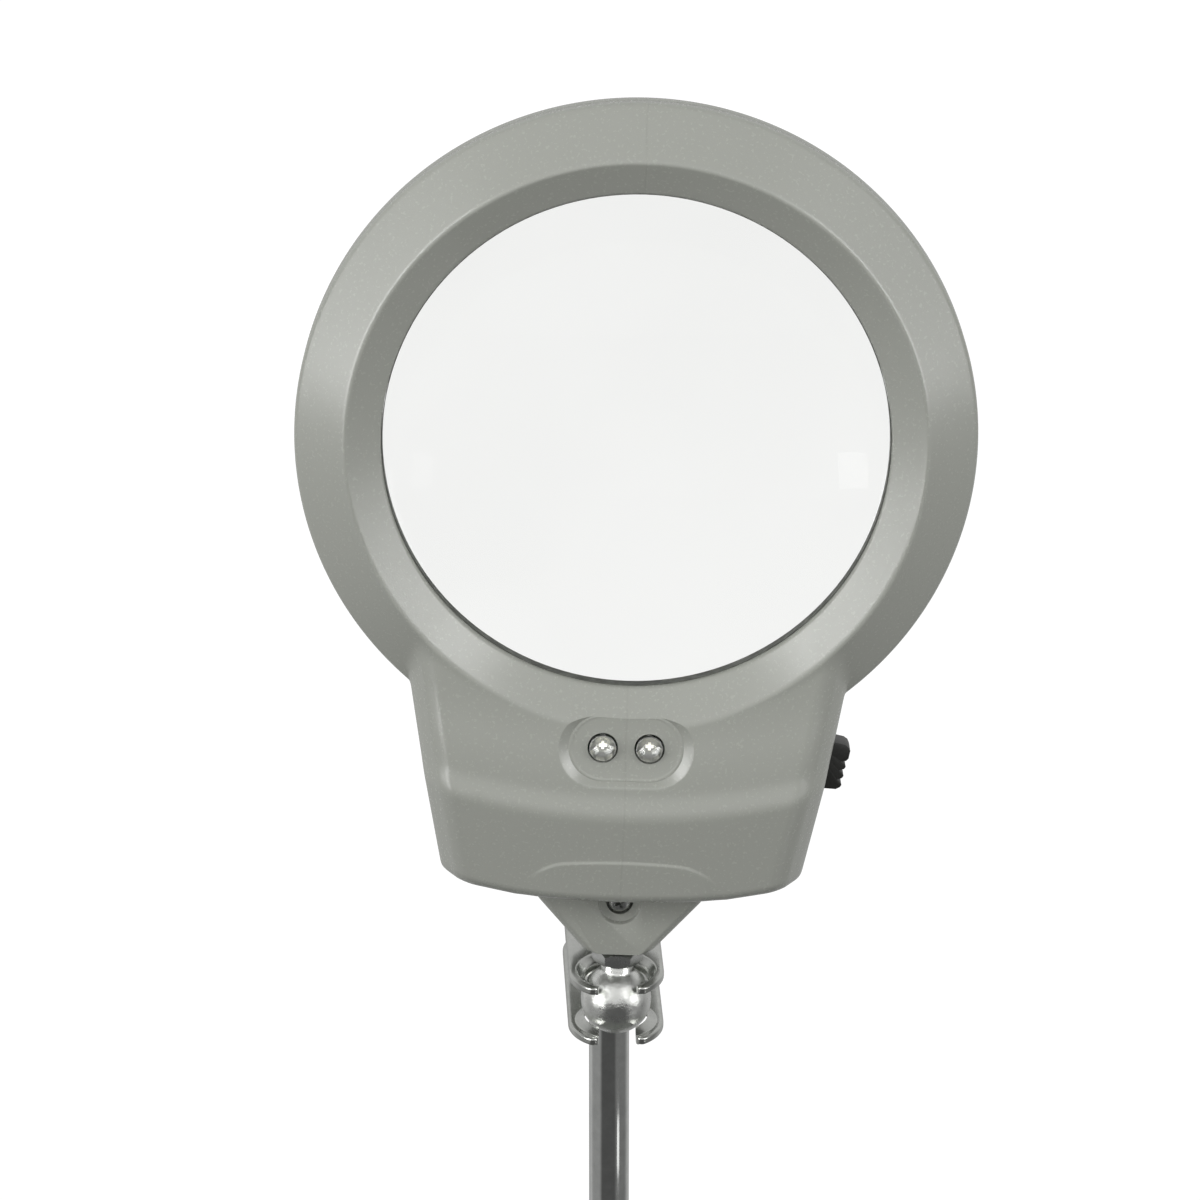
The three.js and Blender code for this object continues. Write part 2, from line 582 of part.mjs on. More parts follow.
function contactSpring() {
  const shape = new THREE.Shape();
  shape.absarc(0, 0, 0.35, 0, 2 * Math.PI);
  const options = { steps: 26, curveSegments: 2, extrudePath: new Coil(), bevelEnabled: false };
  return solid(new THREE.ExtrudeGeometry(shape, options));
}

// From a contact plate to the LED board, on the right for side 1 and on the left for side -1.
function wire(side) {
  const points = [[27.2, -70, -6], [27, -68, 0], [20, -62, 1.6], [12.2, -56, 0]];
  const shape = new THREE.Shape();
  shape.absarc(0, 0, 0.6, 0, 2 * Math.PI);
  const path = new THREE.CatmullRomCurve3(points.map(([x, y, z]) => new THREE.Vector3(side * x, y, z)));
  const options = { steps: 10, curveSegments: 3, extrudePath: path, bevelEnabled: false };
  return solid(new THREE.ExtrudeGeometry(shape, options));
}

function housingScrew(depth) {
  return turned([
    [0, -8.6 + 0.4], [1.6, -8.6 + 0.1], [2.5, -7.6], [2.5, -6.9], [1.3, -6.9], [1.3, depth], [0, depth + 0.8],
  ], 16);
}

function tongueCap() {
  const { split, front } = TONGUE;
  const bevel = 1.6;
  let made = extruded(tongueShape(CAP_TOP), split + GAP / 2, front - bevel);
  const face = new THREE.ExtrudeGeometry(tongueShape(CAP_TOP - bevel, bevel), {
    depth: 0.2, bevelThickness: bevel - 0.1, bevelSize: bevel, bevelSegments: 2, curveSegments: 6,
  });
  made = made.add(solid(face.translate(0, 0, front - bevel - 0.1)));
  made = made.intersect(box(-30, 30, -120, CAP_TOP, -30, front));
  made = made.subtract(cylinder(3.65, front - 1, 5, 24).translate([0, TONGUE_SCREW_Y, 0]));
  made = made.subtract(cylinder(2.4, front - SCREW_SUNK, 5, 24).translate([0, TONGUE_SCREW_Y, 0]));
  made = made.subtract(cylinder(PILOT_R, -20, 5, 16).translate([0, TONGUE_SCREW_Y, 0]));
  return made.subtract(studRoom());
}

function tongueScrew() {
  const seat = TONGUE.front - SCREW_SUNK + GAP;
  return turned([
    [0, -10.5], [1.3, -9.7], [1.3, seat], [2.1, seat], [2.1, seat + 0.9], [1.4, seat + 1.4], [0, seat + 1.5],
  ], 20).translate([0, TONGUE_SCREW_Y, 0]);
}

function head() {
  const parts = [
    mesh("front_housing", frontHousing(), GREY_ABS),
    mesh("rear_housing", rearHousing(), GREY_ABS),
    mesh("tongue_cap", tongueCap(), GREY_ABS),
    mesh("tongue_screw", tongueScrew(), ZINC),
    mesh("lens", lens(), GLASS),
    mesh("lens_retainer", tube(46.6, 44.9, -4.6, -3.5, 60), BLACK),
    mesh("led_board", box(-11, 11, -60, -48.9, LED.board - 1.2, LED.board), BOARD),
    mesh("led_resistor", resistor(), CELL_SKIN),
    mesh("switch_body", knobFrame(box(-7.4, -4.6, -7.4, 5.8, SWITCH.z - 3, SWITCH.z + 3)), BLACK),
    mesh("switch_knob", switchKnob(), BLACK),
    mesh("battery_door", batteryDoor(), GREY_ABS),
    mesh("contact_plate_left", box(-26.4, -25.9, -79, -50.4, -13, -5), NICKEL),
    mesh("contact_plate_right", box(25.9, 26.4, -79, -50.4, -13, -5), NICKEL),
    mesh("wire_positive", wire(1), RED_WIRE),
    mesh("wire_negative", wire(-1), BLACK_WIRE),
  ];
  for (const [name, x] of [["led_left", -LED.x], ["led_right", LED.x]])
    parts.push(mesh(name, led().translate([x, LED.y, 0]), EPOXY));
  ["upper", "middle", "lower"].forEach((row, i) => {
    const turn = i % 2 ? 180 : 0; // the middle cell faces the other way
    const y = CELL.rows[i];
    parts.push(mesh("battery_" + row, cell().rotate([0, 0, turn]).translate([0, y, CELL.z]), CELL_SKIN));
    const spring = contactSpring().rotate([0, 0, turn]).translate([turn ? 25.9 : -25.9, y, CELL.z]);
    parts.push(mesh("contact_spring_" + row, spring, NICKEL));
  });
  SCREW_SPOTS.forEach((spot, i) =>
    parts.push(mesh("housing_screw_" + (i + 1), atSpot(housingScrew(0), spot), ZINC)));
  const lensFrame = group(parts, [0, -STUD_SETBACK, LENS_ABOVE_BALL], [Math.PI / 2, 0, 0]);
  return group([
    mesh("head_ball_stud", ballStud(7.1, STUD_TOP), ZINC),
    mesh("stud_lock_nut", hexNut(NUT_AF, STUD_R + GAP, 7.3, 9.8), ZINC),
    mesh("stud_insert_nut", hexNut(NUT_AF, STUD_R + GAP, INSERT.z0, INSERT.z1), ZINC),
    lensFrame,
  ]);
}

// ---------- assembly ----------
const rodBall = mesh("rod_ball_stud", ballStud(NECK_LENGTH, NECK_LENGTH + 9).rotate([180, 0, 0]), ZINC);
rodBall.position.set(0, ROD.y, BALL_CENTRE_Z);
const headGroup = head();

// The head stays upright while the clamp leans and turns, so it is placed by the clamp's front ball.
const clampGroup = group([clamp()], [0, -HALF, 0]);
const leaning = group([clampGroup], [0, 0, 0], [CLAMP_PITCH, 0, 0]);
const turnedArm = group([leaning], [0, ROD.y, BALL_CENTRE_Z], [0, 0, CLAMP_YAW]);
const reach = BALL_SPACING * Math.cos(CLAMP_PITCH);
headGroup.position.set(
  reach * Math.sin(CLAMP_YAW),
  ROD.y - reach * Math.cos(CLAMP_YAW),
  BALL_CENTRE_Z - BALL_SPACING * Math.sin(CLAMP_PITCH),
);
headGroup.rotation.y = HEAD_ROLL;

const lamp = new THREE.Group();
lamp.name = "magnifying_lamp";
lamp.add(stand(), rodBall, turnedArm, headGroup);

export default lamp;
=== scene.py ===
import json
import math

import bmesh
import bpy
import numpy as np
from mathutils import Matrix, Vector


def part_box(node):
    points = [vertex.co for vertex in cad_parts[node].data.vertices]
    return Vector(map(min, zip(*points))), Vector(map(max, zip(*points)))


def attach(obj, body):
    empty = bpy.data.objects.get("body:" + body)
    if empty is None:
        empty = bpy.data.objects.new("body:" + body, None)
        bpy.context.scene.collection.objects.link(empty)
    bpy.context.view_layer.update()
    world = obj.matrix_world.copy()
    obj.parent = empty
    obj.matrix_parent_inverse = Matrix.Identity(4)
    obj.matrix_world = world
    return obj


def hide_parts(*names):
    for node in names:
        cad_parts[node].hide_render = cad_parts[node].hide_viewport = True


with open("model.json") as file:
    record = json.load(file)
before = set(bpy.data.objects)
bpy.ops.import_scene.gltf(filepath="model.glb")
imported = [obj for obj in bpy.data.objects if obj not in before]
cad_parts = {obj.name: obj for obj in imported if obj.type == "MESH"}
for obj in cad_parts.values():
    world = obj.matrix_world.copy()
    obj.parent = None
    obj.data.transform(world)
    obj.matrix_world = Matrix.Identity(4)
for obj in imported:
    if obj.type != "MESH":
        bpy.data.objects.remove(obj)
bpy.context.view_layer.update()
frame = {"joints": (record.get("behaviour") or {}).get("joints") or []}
JOINTS = {joint["name"]: joint for joint in frame["joints"]}
MM = 0.001


# ---------- places, worked out from the frame ----------
X, Y, Z = (Vector(axis) for axis in ((1, 0, 0), (0, 1, 0), (0, 0, 1)))


def place(origin, x, y, z):
    """A matrix that takes millimetres along the unit directions x, y and z to the row frame's metres."""
    m = Matrix.Identity(4)
    for column, axis in enumerate((x, y, z)):
        for row in range(3):
            m[row][column] = axis[row] * MM
    m.translation = Vector(origin)
    return m


def centre(node):
    low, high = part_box(node)
    return (low + high) / 2


FRONT = -Y
HEAD_UP = Vector(JOINTS["head_turn"]["axis"]).normalized()
HEAD_RIGHT = HEAD_UP.cross(FRONT).normalized()
HEAD_BALL = Vector(JOINTS["head_turn"]["pos_m"])
LENS_MID = -1.9  # the lens's mid-plane, in front of the ring's front edge
LENS = place(centre("lens") - FRONT * LENS_MID * MM, HEAD_RIGHT, HEAD_UP, FRONT)
STUD = place(HEAD_BALL, HEAD_RIGHT, -FRONT, HEAD_UP)

CLAMP_NORMAL = Vector(JOINTS["wing_nut_turn"]["axis"]).normalized()
CLAMP_ACROSS = Vector(JOINTS["head_tilt"]["axis"]).normalized()
CLAMP_BACK = CLAMP_NORMAL.cross(CLAMP_ACROSS).normalized()
CLAMP = place(JOINTS["wing_nut_turn"]["pos_m"], CLAMP_ACROSS, CLAMP_BACK, CLAMP_NORMAL)

ROD_BALL = Vector(JOINTS["arm_swivel"]["pos_m"])
ROD_DOWN = place(ROD_BALL, X, -Y, -Z)
BALL_SPACING = (ROD_BALL - HEAD_BALL).length / MM
ROD_AXIS = place((ROD_BALL.x, ROD_BALL.y, 0), X, Y, Z)
GROUND = Matrix.Scale(MM, 4)


# ---------- curves and solids ----------
def smooth_step(x, low, high):
    t = np.clip((x - low) / (high - low), 0, 1)
    return t * t * (3 - 2 * t)


def smooth_min(a, b, k):
    """The lower of two heights, rounded over a band of k millimetres where they cross."""
    h = np.clip(0.5 + 0.5 * (b - a) / k, 0, 1)
    return b * (1 - h) + a * h - k * h * (1 - h)


def smooth_max(a, b, k):
    return -smooth_min(-a, -b, k)


def round_off(distance, radius):
    """How far a quarter-round edge has fallen at this distance in from the side wall."""
    inside = np.clip(radius - distance, 0, radius)
    return radius - np.sqrt(radius**2 - inside**2)


def fillet(points, radius, steps=4, closed=False):
    """The polyline with its corners rounded. radius is one number, or one per corner."""
    count = len(points)
    radii = [radius] * count if isinstance(radius, (int, float)) else list(radius)
    out = []
    for i, point in enumerate(points):
        ends = not closed and i in (0, count - 1)
        if ends or radii[i] <= 0:
            out.append(tuple(point))
            continue
        here = Vector(point)
        before = Vector(points[i - 1]) - here
        after = Vector(points[(i + 1) % count]) - here
        half = before.angle(after) / 2
        reach = radii[i] / math.tan(half) if half > 1e-4 else 0
        reach = min(reach, before.length * 0.49, after.length * 0.49)
        a = here + before.normalized() * reach
        b = here + after.normalized() * reach
        for k in range(steps + 1):
            t = k / steps
            out.append(tuple(a * (1 - t) ** 2 + here * 2 * t * (1 - t) + b * t**2))
    return out


def arc(cx, cy, radius, start, end, steps):
    """Points on an arc, angles in degrees."""
    angles = np.radians(np.linspace(start, end, steps + 1))
    return [(cx + radius * math.cos(a), cy + radius * math.sin(a)) for a in angles]


def bands(bm, rings, closed):
    """Faces between neighbouring rings of vertices. A ring of one vertex is a pole."""
    pairs = list(zip(rings, rings[1:]))
    if closed:
        pairs.append((rings[-1], rings[0]))
    for a, b in pairs:
        count = max(len(a), len(b))
        for i in range(count):
            j = (i + 1) % count
            corners = [a[i % len(a)], a[j % len(a)], b[j % len(b)], b[i % len(b)]]
            corners = list(dict.fromkeys(corners))
            if len(corners) > 2:
                bm.faces.new(corners)
    bmesh.ops.recalc_face_normals(bm, faces=bm.faces)


def lathe(profile, segments=96, closed=False):
    """A profile of (radius, height) turned about z. It starts and ends on the axis, or is closed."""
    bm = bmesh.new()
    turn = np.linspace(0, 2 * math.pi, segments, endpoint=False)
    rings = []
    for r, z in profile:
        if r < 1e-6:
            rings.append([bm.verts.new((0, 0, z))])
        else:
            rings.append([bm.verts.new((r * math.cos(a), r * math.sin(a), z)) for a in turn])
    bands(bm, rings, closed)
    return bm


def prism(outline, z0, z1, bevel=0.0, steps=3):
    """An outline in x and y drawn up from z0 to z1, its two rims rounded."""
    bm = bmesh.new()
    base = bm.faces.new([bm.verts.new((x, y, z0)) for x, y in outline])
    made = bmesh.ops.extrude_face_region(bm, geom=[base])
    top = [v for v in made["geom"] if isinstance(v, bmesh.types.BMVert)]
    bmesh.ops.translate(bm, verts=top, vec=(0, 0, z1 - z0))
    bmesh.ops.recalc_face_normals(bm, faces=bm.faces)
    if bevel:
        flat = [e for e in bm.edges if abs(e.verts[0].co.z - e.verts[1].co.z) < 1e-6]
        bmesh.ops.bevel(bm, geom=flat, offset=bevel, segments=steps, profile=0.5, affect="EDGES",
                        clamp_overlap=True)
    return bm


def block(x0, x1, y0, y1, z0, z1, bevel=0.0):
    return prism([(x0, y0), (x1, y0), (x1, y1), (x0, y1)], z0, z1, bevel)


def cylinder(radius, z0, z1, segments=48, bevel=0.0):
    profile = [(0, z0), (radius, z0), (radius, z1), (0, z1)]
    return lathe(fillet(profile, bevel, 3) if bevel else profile, segments)


def spin(degrees, axis="Z"):
    return Matrix.Rotation(math.radians(degrees), 4, axis)


def moved(bm, x=0, y=0, z=0, turn=None):
    """The same bmesh, turned by a matrix and then shifted."""
    if turn is not None:
        bmesh.ops.transform(bm, matrix=turn, verts=bm.verts)
    bmesh.ops.translate(bm, verts=bm.verts, vec=(x, y, z))
    return bm


def as_mesh(bm, name="tool"):
    """Mesh data from a bmesh, which is used up."""
    mesh = bpy.data.meshes.new(name)
    bm.to_mesh(mesh)
    bm.free()
    return mesh


def as_object(data, name="tool"):
    made = bpy.data.objects.new(name, data)
    bpy.context.scene.collection.objects.link(made)
    return made


def joined(*parts):
    """One bmesh that holds several separate ones."""
    out = bmesh.new()
    for part in parts:
        mesh = as_mesh(part)
        out.from_mesh(mesh)
        bpy.data.meshes.remove(mesh)
    return out


def evaluated_copy(host):
    """A bmesh of the object as it looks with its modifiers. The object is used up."""
    bpy.context.view_layer.update()
    evaluated = host.evaluated_get(bpy.context.evaluated_depsgraph_get())
    out = bmesh.new()
    out.from_mesh(evaluated.to_mesh())
    evaluated.to_mesh_clear()
    bpy.data.objects.remove(host)
    return out


def with_modifiers(bm, *wanted):
    """The bmesh after modifiers, each given as its kind and settings."""
    host = as_object(as_mesh(bm))
    for kind, settings in wanted:
        modifier = host.modifiers.new(kind.lower(), kind)
        for key, value in settings.items():
            setattr(modifier, key, value)
    return evaluated_copy(host)


def boolean(bm, operation, *tools):
    """bm joined to or crossed with each tool in turn, or cut by it. The tools are used up."""
    objects = [as_object(as_mesh(tool)) for tool in tools]
    out = with_modifiers(bm, *[("BOOLEAN", {"solver": "EXACT", "operation": operation, "object": tool})
                               for tool in objects])
    for tool in objects:
        bpy.data.objects.remove(tool)
    return out


def cut(bm, *tools):
    return boolean(bm, "DIFFERENCE", *tools)


def remeshed(bm, voxel, smoothing):
    """A cast-looking skin over the bmesh: voxels, then a little smoothing."""
    return with_modifiers(bm, ("REMESH", {"mode": "VOXEL", "voxel_size": voxel}),
                          ("SMOOTH", {"factor": 0.5, "iterations": smoothing}))


def piece(name, bm, matrix, look, body, *stands_for, sharp=32):
    """Makes the object from a bmesh in millimetres, places it, ties it to its body and hides the CAD nodes it
    stands for.

    look is the slot and the material; the slot is not used."""
    slot, material = look
    bmesh.ops.remove_doubles(bm, verts=bm.verts, dist=1e-5)
    bmesh.ops.dissolve_degenerate(bm, edges=bm.edges, dist=1e-5)
    mesh = as_mesh(bm, name)
    mesh.transform(matrix)
    if matrix.determinant() < 0:
        mesh.flip_normals()
    mesh.materials.append(material)
    mesh.shade_smooth()
    mesh.set_sharp_from_angle(angle=math.radians(sharp))
    made = as_object(mesh, name)
    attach(made, body)
    if stands_for:
        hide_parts(*stands_for)


def head_piece(name, bm, look, *stands_for, sharp=32):
    piece(name, bm, LENS, look, "head", *stands_for, sharp=sharp)


# ---------- materials ----------
def linear(r, g, b):
    """A colour given as 0 to 255 on a screen, as Blender's linear light."""
    def channel(c):
        c = c / 255
        return c / 12.92 if c <= 0.04045 else ((c + 0.055) / 1.055) ** 2.4
    return (channel(r), channel(g), channel(b), 1)


def shade(colour, factor):
    return [c * factor for c in colour[:3]] + [1]


class Nodes:
    """Short calls that add nodes to a tree. An input's name has an underscore for each space."""

    def __init__(self, owner):
        owner.use_nodes = True
        self.tree = owner.node_tree

    def put(self, socket, value):
        if isinstance(value, bpy.types.NodeSocket):
            self.tree.links.new(value, socket)
        else:
            socket.default_value = value

    def feed(self, node, **inputs):
        for key, value in inputs.items():
            self.put(node.inputs[key.replace("_", " ")], value)

    def add(self, kind, settings=None, **inputs):
        node = self.tree.nodes.new(kind)
        for key, value in (settings or {}).items():
            setattr(node, key, value)
        self.feed(node, **inputs)
        return node

    def remap(self, value, low, high, to_low, to_high, settings=None):
        node = self.add("ShaderNodeMapRange", settings, Value=value, From_Min=low, From_Max=high, To_Min=to_low,
                        To_Max=to_high)
        return node.outputs["Result"]

    def maths(self, operation, a, b=0.0):
        node = self.add("ShaderNodeMath", {"operation": operation})
        for socket, value in zip(node.inputs, (a, b)):
            self.put(socket, value)
        return node.outputs[0]


class Shader(Nodes):
    """A node material with one Principled shader, and short calls for the nodes that feed it."""

    def __init__(self, name):
        self.material = bpy.data.materials.new(name)
        super().__init__(self.material)
        self.bsdf = self.tree.nodes["Principled BSDF"]
        self.place = self.add("ShaderNodeTexCoord").outputs["Object"]

    def set(self, **inputs):
        self.feed(self.bsdf, **inputs)

    def stretched(self, scale):
        return self.add("ShaderNodeMapping", Vector=self.place, Scale=scale).outputs["Vector"]

    def noise(self, scale, detail=3.0, rough=0.55, where=None):
        """Noise with features about 1/scale metres across."""
        node = self.add("ShaderNodeTexNoise", Vector=where or self.place, Scale=scale, Detail=detail,
                        Roughness=rough)
        return node.outputs["Fac"]

    def cells(self, scale):
        return self.add("ShaderNodeTexVoronoi", Vector=self.place, Scale=scale).outputs["Distance"]

    def mix(self, factor, a, b):
        return self.add("ShaderNodeMix", {"data_type": "RGBA"}, Factor=factor, A=a, B=b).outputs["Result"]

    def bump(self, height, depth, under=None):
        """A normal from a height of 0 to 1 that stands for depth metres."""
        node = self.add("ShaderNodeBump", Height=height, Strength=1.0, Distance=depth)
        if under is not None:
            self.feed(node, Normal=under)
        return node.outputs["Normal"]


def moulded_plastic(name, colour, roughness, weld=False):
    """Injection-moulded ABS: an even colour with a fine tint and spark-eroded grain, and dull spots."""
    s = Shader(name)
    base = s.mix(s.noise(2600, 2), colour, shade(colour, 0.985))
    speck = s.remap(s.cells(420), 0.0, 0.055, 1, 0)
    base = s.mix(s.maths("MULTIPLY", speck, 0.22), base, shade(colour, 0.72))
    normal = s.bump(s.noise(3200, 2, 0.6), 0.000012)
    normal = s.bump(s.noise(140, 2), 0.000008, normal)
    if weld:
        # distance from the head's middle plane, where the flow fronts met
        roll = -math.atan2(HEAD_UP.x, HEAD_UP.z)
        to_middle = -(Matrix.Rotation(roll, 3, "Y") @ LENS.translation)
        flat = s.add("ShaderNodeMapping", Vector=s.place, Location=to_middle, Rotation=(0, roll, 0))
        across = s.add("ShaderNodeSeparateXYZ", Vector=flat.outputs["Vector"]).outputs["X"]
        off = s.maths("ABSOLUTE", across)
        line = s.remap(off, 0.0, 0.00022, 1, 0)
        base = s.mix(s.maths("MULTIPLY", line, 0.12), base, shade(colour, 0.6))
        normal = s.bump(s.remap(off, 0.0, 0.0003, 0, 1), 0.00004, normal)
    rough = s.remap(s.noise(1800, 2), 0.0, 1.0, roughness - 0.015, roughness + 0.015)
    s.set(Base_Color=base, Roughness=rough, Normal=normal, Specular_IOR_Level=0.75)
    return s.material


def plated(name, colour, roughness, mottle, pits=0.0, drawn=None):
    """Plated metal. mottle is how much the plating's gloss varies, pits the depth of its small dents."""
    s = Shader(name)
    where = s.stretched(drawn) if drawn else s.place
    cloud = s.noise(180, 5, 0.65, where)
    rough = s.remap(cloud, 0.3, 0.7, max(roughness - mottle, 0.02), roughness + mottle)
    base = s.mix(s.remap(s.noise(420, 4), 0.35, 0.7, 0, 0.6), colour, shade(colour, 0.8))
    normal = s.bump(s.noise(1500, 3, 0.6, where), 0.000003)
    if pits:
        normal = s.bump(s.noise(620, 4, 0.7), pits, normal)
        spots = s.remap(s.cells(900), 0.0, 0.16, 1, 0)
        base = s.mix(s.maths("MULTIPLY", spots, 0.35), base, shade(colour, 0.45))
    s.set(Base_Color=base, Metallic=1.0, Roughness=rough, Normal=normal)
    return s.material


def enamelled_iron():
    """Grey hammered enamel over a casting."""
    s = Shader("hammered_enamel")
    dimple = s.cells(260)
    height = s.maths("ADD", s.maths("MULTIPLY", dimple, 0.8), s.maths("MULTIPLY", s.noise(330, 2), 0.5))
    base = s.mix(s.remap(dimple, 0.1, 0.6, 0, 1), linear(96, 99, 95), linear(124, 127, 122))
    base = s.mix(s.remap(s.noise(1400, 2), 0.62, 0.75, 0, 0.5), base, linear(160, 162, 158))
    normal = s.bump(height, 0.00035)
    s.set(Base_Color=base, Metallic=0.35, Roughness=s.remap(s.noise(90, 3), 0.3, 0.7, 0.3, 0.42), Normal=normal,
          Coat_Weight=0.5, Coat_Roughness=0.12)
    return s.material


def moulded_rubber(name, colour, roughness, painted_glow=0.0):
    s = Shader(name)
    base = s.mix(s.remap(s.noise(500, 4), 0.4, 0.7, 0, 1), colour, shade(colour, 1.7))
    normal = s.bump(s.noise(2400, 3, 0.7), 0.00003)
    s.set(Base_Color=base, Roughness=s.remap(s.noise(200, 3), 0.3, 0.7, roughness - 0.08, roughness + 0.08),
          Normal=normal)
    # painted_glow makes the colour shine by itself, as painted light
    if painted_glow:
        s.set(Emission_Color=base, Emission_Strength=painted_glow)
    return s.material


def clear(name, colour, ior, roughness, ripple=0.0, reflects=1.0):
    """Glass or cast epoxy. ripple is the depth of its faint waviness, reflects less than 1 if it is coated."""
    s = Shader(name)
    tint = s.mix(s.remap(s.noise(30, 2), 0.4, 0.6, 0, 1), colour, shade(colour, 0.985))
    s.set(Base_Color=tint, Roughness=roughness, IOR=ior, Transmission_Weight=1.0,
          Specular_Tint=(reflects, reflects, reflects, 1))
    if ripple:
        s.set(Normal=s.bump(s.noise(90, 2), ripple))
    return s.material


def circuit_board():
    """Green solder mask with faint copper tracks under it."""
    s = Shader("solder_mask")
    tracks = s.add("ShaderNodeTexWave", {"wave_profile": "SAW"}, Vector=s.place, Scale=260.0, Distortion=6.0)
    lines = s.remap(tracks.outputs["Fac"], 0.42, 0.5, 0, 1)
    base = s.mix(s.maths("MULTIPLY", lines, 0.35), linear(38, 84, 52), linear(70, 118, 78))
    s.set(Base_Color=base, Roughness=s.remap(s.noise(300), 0.3, 0.7, 0.25, 0.4), Normal=s.bump(lines, 0.00003))
    return s.material


# each look is a slot of the record and a material
GREY = "grey_plastic", moulded_plastic("grey_abs", linear(158, 160, 153), 0.27)
GREY_FRONT = "grey_plastic", moulded_plastic("grey_abs_weld_line", linear(158, 160, 153), 0.27, weld=True)
BLACK = "black_plastic", moulded_plastic("black_abs", linear(30, 31, 28), 0.42)
CHROME = "chrome", plated("chrome_plate", (0.62, 0.63, 0.615, 1), 0.09, 0.03, drawn=(1, 1, 0.12))
PRESSED = "chrome", plated("plated_sheet", (0.53, 0.54, 0.515, 1), 0.2, 0.05, 0.000004)
BALL_PLATE = "zinc_plate", plated("ball_plating", (0.72, 0.73, 0.705, 1), 0.31, 0.13, 0.0001)
ZINC = "zinc_plate", plated("zinc_plate", (0.56, 0.57, 0.555, 1), 0.26, 0.07, 0.000012)
NICKEL = "nickel", plated("nickel_spring", (0.62, 0.6, 0.56, 1), 0.2, 0.05)
SILVERED = "nickel", plated("led_reflector", (0.36, 0.365, 0.355, 1), 0.3, 0.1)
ENAMEL = "cast_iron", enamelled_iron()
RUBBER = "rubber", moulded_rubber("black_rubber", linear(34, 34, 33), 0.7)
# a grey-black ring of painted shade: it darkens the lens seat's wall, where the gap lies in shadow
SEAT_SHADE = "black_plastic", moulded_rubber("seat_shade_rubber", linear(82, 84, 79), 0.6)
GLASS = "lens_glass", clear("lens_glass", (0.85, 0.855, 0.845, 1), 1.5, 0.0, reflects=0.12)
EPOXY = "led_epoxy", clear("led_epoxy", (0.95, 0.955, 0.945, 1), 1.45, 0.03, 0.00003)
BOARD = "circuit_board", circuit_board()
SLEEVE = "battery_sleeve", moulded_plastic("battery_sleeve", linear(52, 58, 66), 0.25)
RED_PVC = "red_wire", moulded_rubber("red_pvc", linear(140, 32, 28), 0.35)
BLACK_PVC = "black_wire", moulded_rubber("black_pvc", linear(26, 26, 26), 0.35)
# the LED die glows faintly as painted light, standing in for the light that reaches it through the clear epoxy
PHOSPHOR = "led_epoxy", moulded_rubber("led_phosphor", linear(225, 224, 214), 0.6, painted_glow=0.8)


# ---------- head shells: heights over a fan of rays from the lens's centre ----------
RING_R = 59.25
OPENING_R = 44.1
RIDGE_R = 50.2
RIDGE_Z = 6.5
WALL = 1.8
SPLIT_FRONT = -2.7
SPLIT_REAR = -3.0
BACK_Z = -16.5
SIDE_SLOPE = 0.175  # how fast the handle narrows
SIDE_AT_CENTRE = 46.16  # where its side line would pass the lens's centre
PAD_HALF = 18.8
SCREW_SPOTS = [(50.4, 17), (0, 53.2), (-50.4, 17), (31.4, -47.6), (-31.4, -47.6)]
RECESS_Y = -54.0
LED_X = 4.1


def bottom_line(x):
    """The handle's bottom edge: a shallow bow under the pad, then a straight run up to the corner."""
    x = np.abs(x)
    bow = -83.9 + 0.75 * (x / PAD_HALF) ** 2
    run = -83.15 + 0.185 * (x - PAD_HALF)
    return np.where(x < PAD_HALF, bow, run)


def outline_radius(angle, inset=0.0):
    """Distance from the lens's centre to the head's outline, for each angle."""
    c, s = np.cos(angle), np.sin(angle)
    side = (SIDE_AT_CENTRE - inset * 1.015) / np.maximum(np.abs(c) - SIDE_SLOPE * s, 1e-3)
    down = np.minimum(s, -0.2)
    bottom = 83.0 / -down
    for _ in range(6):
        bottom = (bottom_line(bottom * c) + inset) / down
    handle = smooth_min(side, bottom, 1.7)
    handle = np.where(s < -0.45, handle, 0)
    return smooth_max(np.full_like(angle, RING_R - inset), handle, 0.7)


def side_distance(x, y):
    return (SIDE_AT_CENTRE + SIDE_SLOPE * y - np.abs(x)) / math.hypot(1, SIDE_SLOPE)


def crease_line(x):
    return -64.6 + 4.0 * (x / 31.6) ** 2


# How steeply the handle's face falls towards the ring, by distance above the crease
FACE_SLOPE = [(-25, -0.25), (-2.6, -0.24), (-0.6, 0.26), (1.3, 0.26), (3.2, 0.07), (10.5, 0.16), (18, 0.04),
              (60, 0.0)]
CREST_Z = 9.9


def face_profile():
    """The face's height over a fine grid of distances above the crease."""
    past = np.linspace(-25, 60, 3401)
    slope = np.interp(past, *zip(*FACE_SLOPE))
    fall = np.concatenate([[0], np.cumsum((slope[1:] + slope[:-1]) / 2 * np.diff(past))])
    return past, CREST_Z + fall.min() - fall


FACE = face_profile()


def handle_front(x, y):
    """The handle's face: it rises to a rounded crest, then falls to the bottom edge, with a raised pad."""
    z = np.interp(y - crease_line(x), *FACE) - 0.9 * (x / 33) ** 2
    # the pad: an arch whose top edge is almost straight and whose ends curl down and fade out
    ax = np.abs(x)
    arch = -74.95 - 0.005 * x**2 - 0.06 * np.maximum(ax - 10, 0) ** 2
    return z + 0.3 * smooth_step(arch - y, -0.25, 0.5) * (1 - smooth_step(ax, 13.0, 17.5))


def side_fall(aside):
    """How far the face has fallen near a side: a soft bend, a slope, and a rounded edge."""
    bend = 0.132 * np.clip(6.2 - aside, 0, 3.4) ** 2
    slope = 1.4 * np.clip(2.8 - aside, 0, 2.8)
    return bend + slope + round_off(aside, 1.2)


def handle_block(x, y):
    """The handle's face with its sides and bottom edge rounded over, and nothing beyond its side lines."""
    aside = side_distance(x, y)
    z = handle_front(x, y) - side_fall(aside) - round_off(y - bottom_line(x), 2.3)
    return np.where(y < -25, z - 8 * np.maximum(-aside, 0), -30)


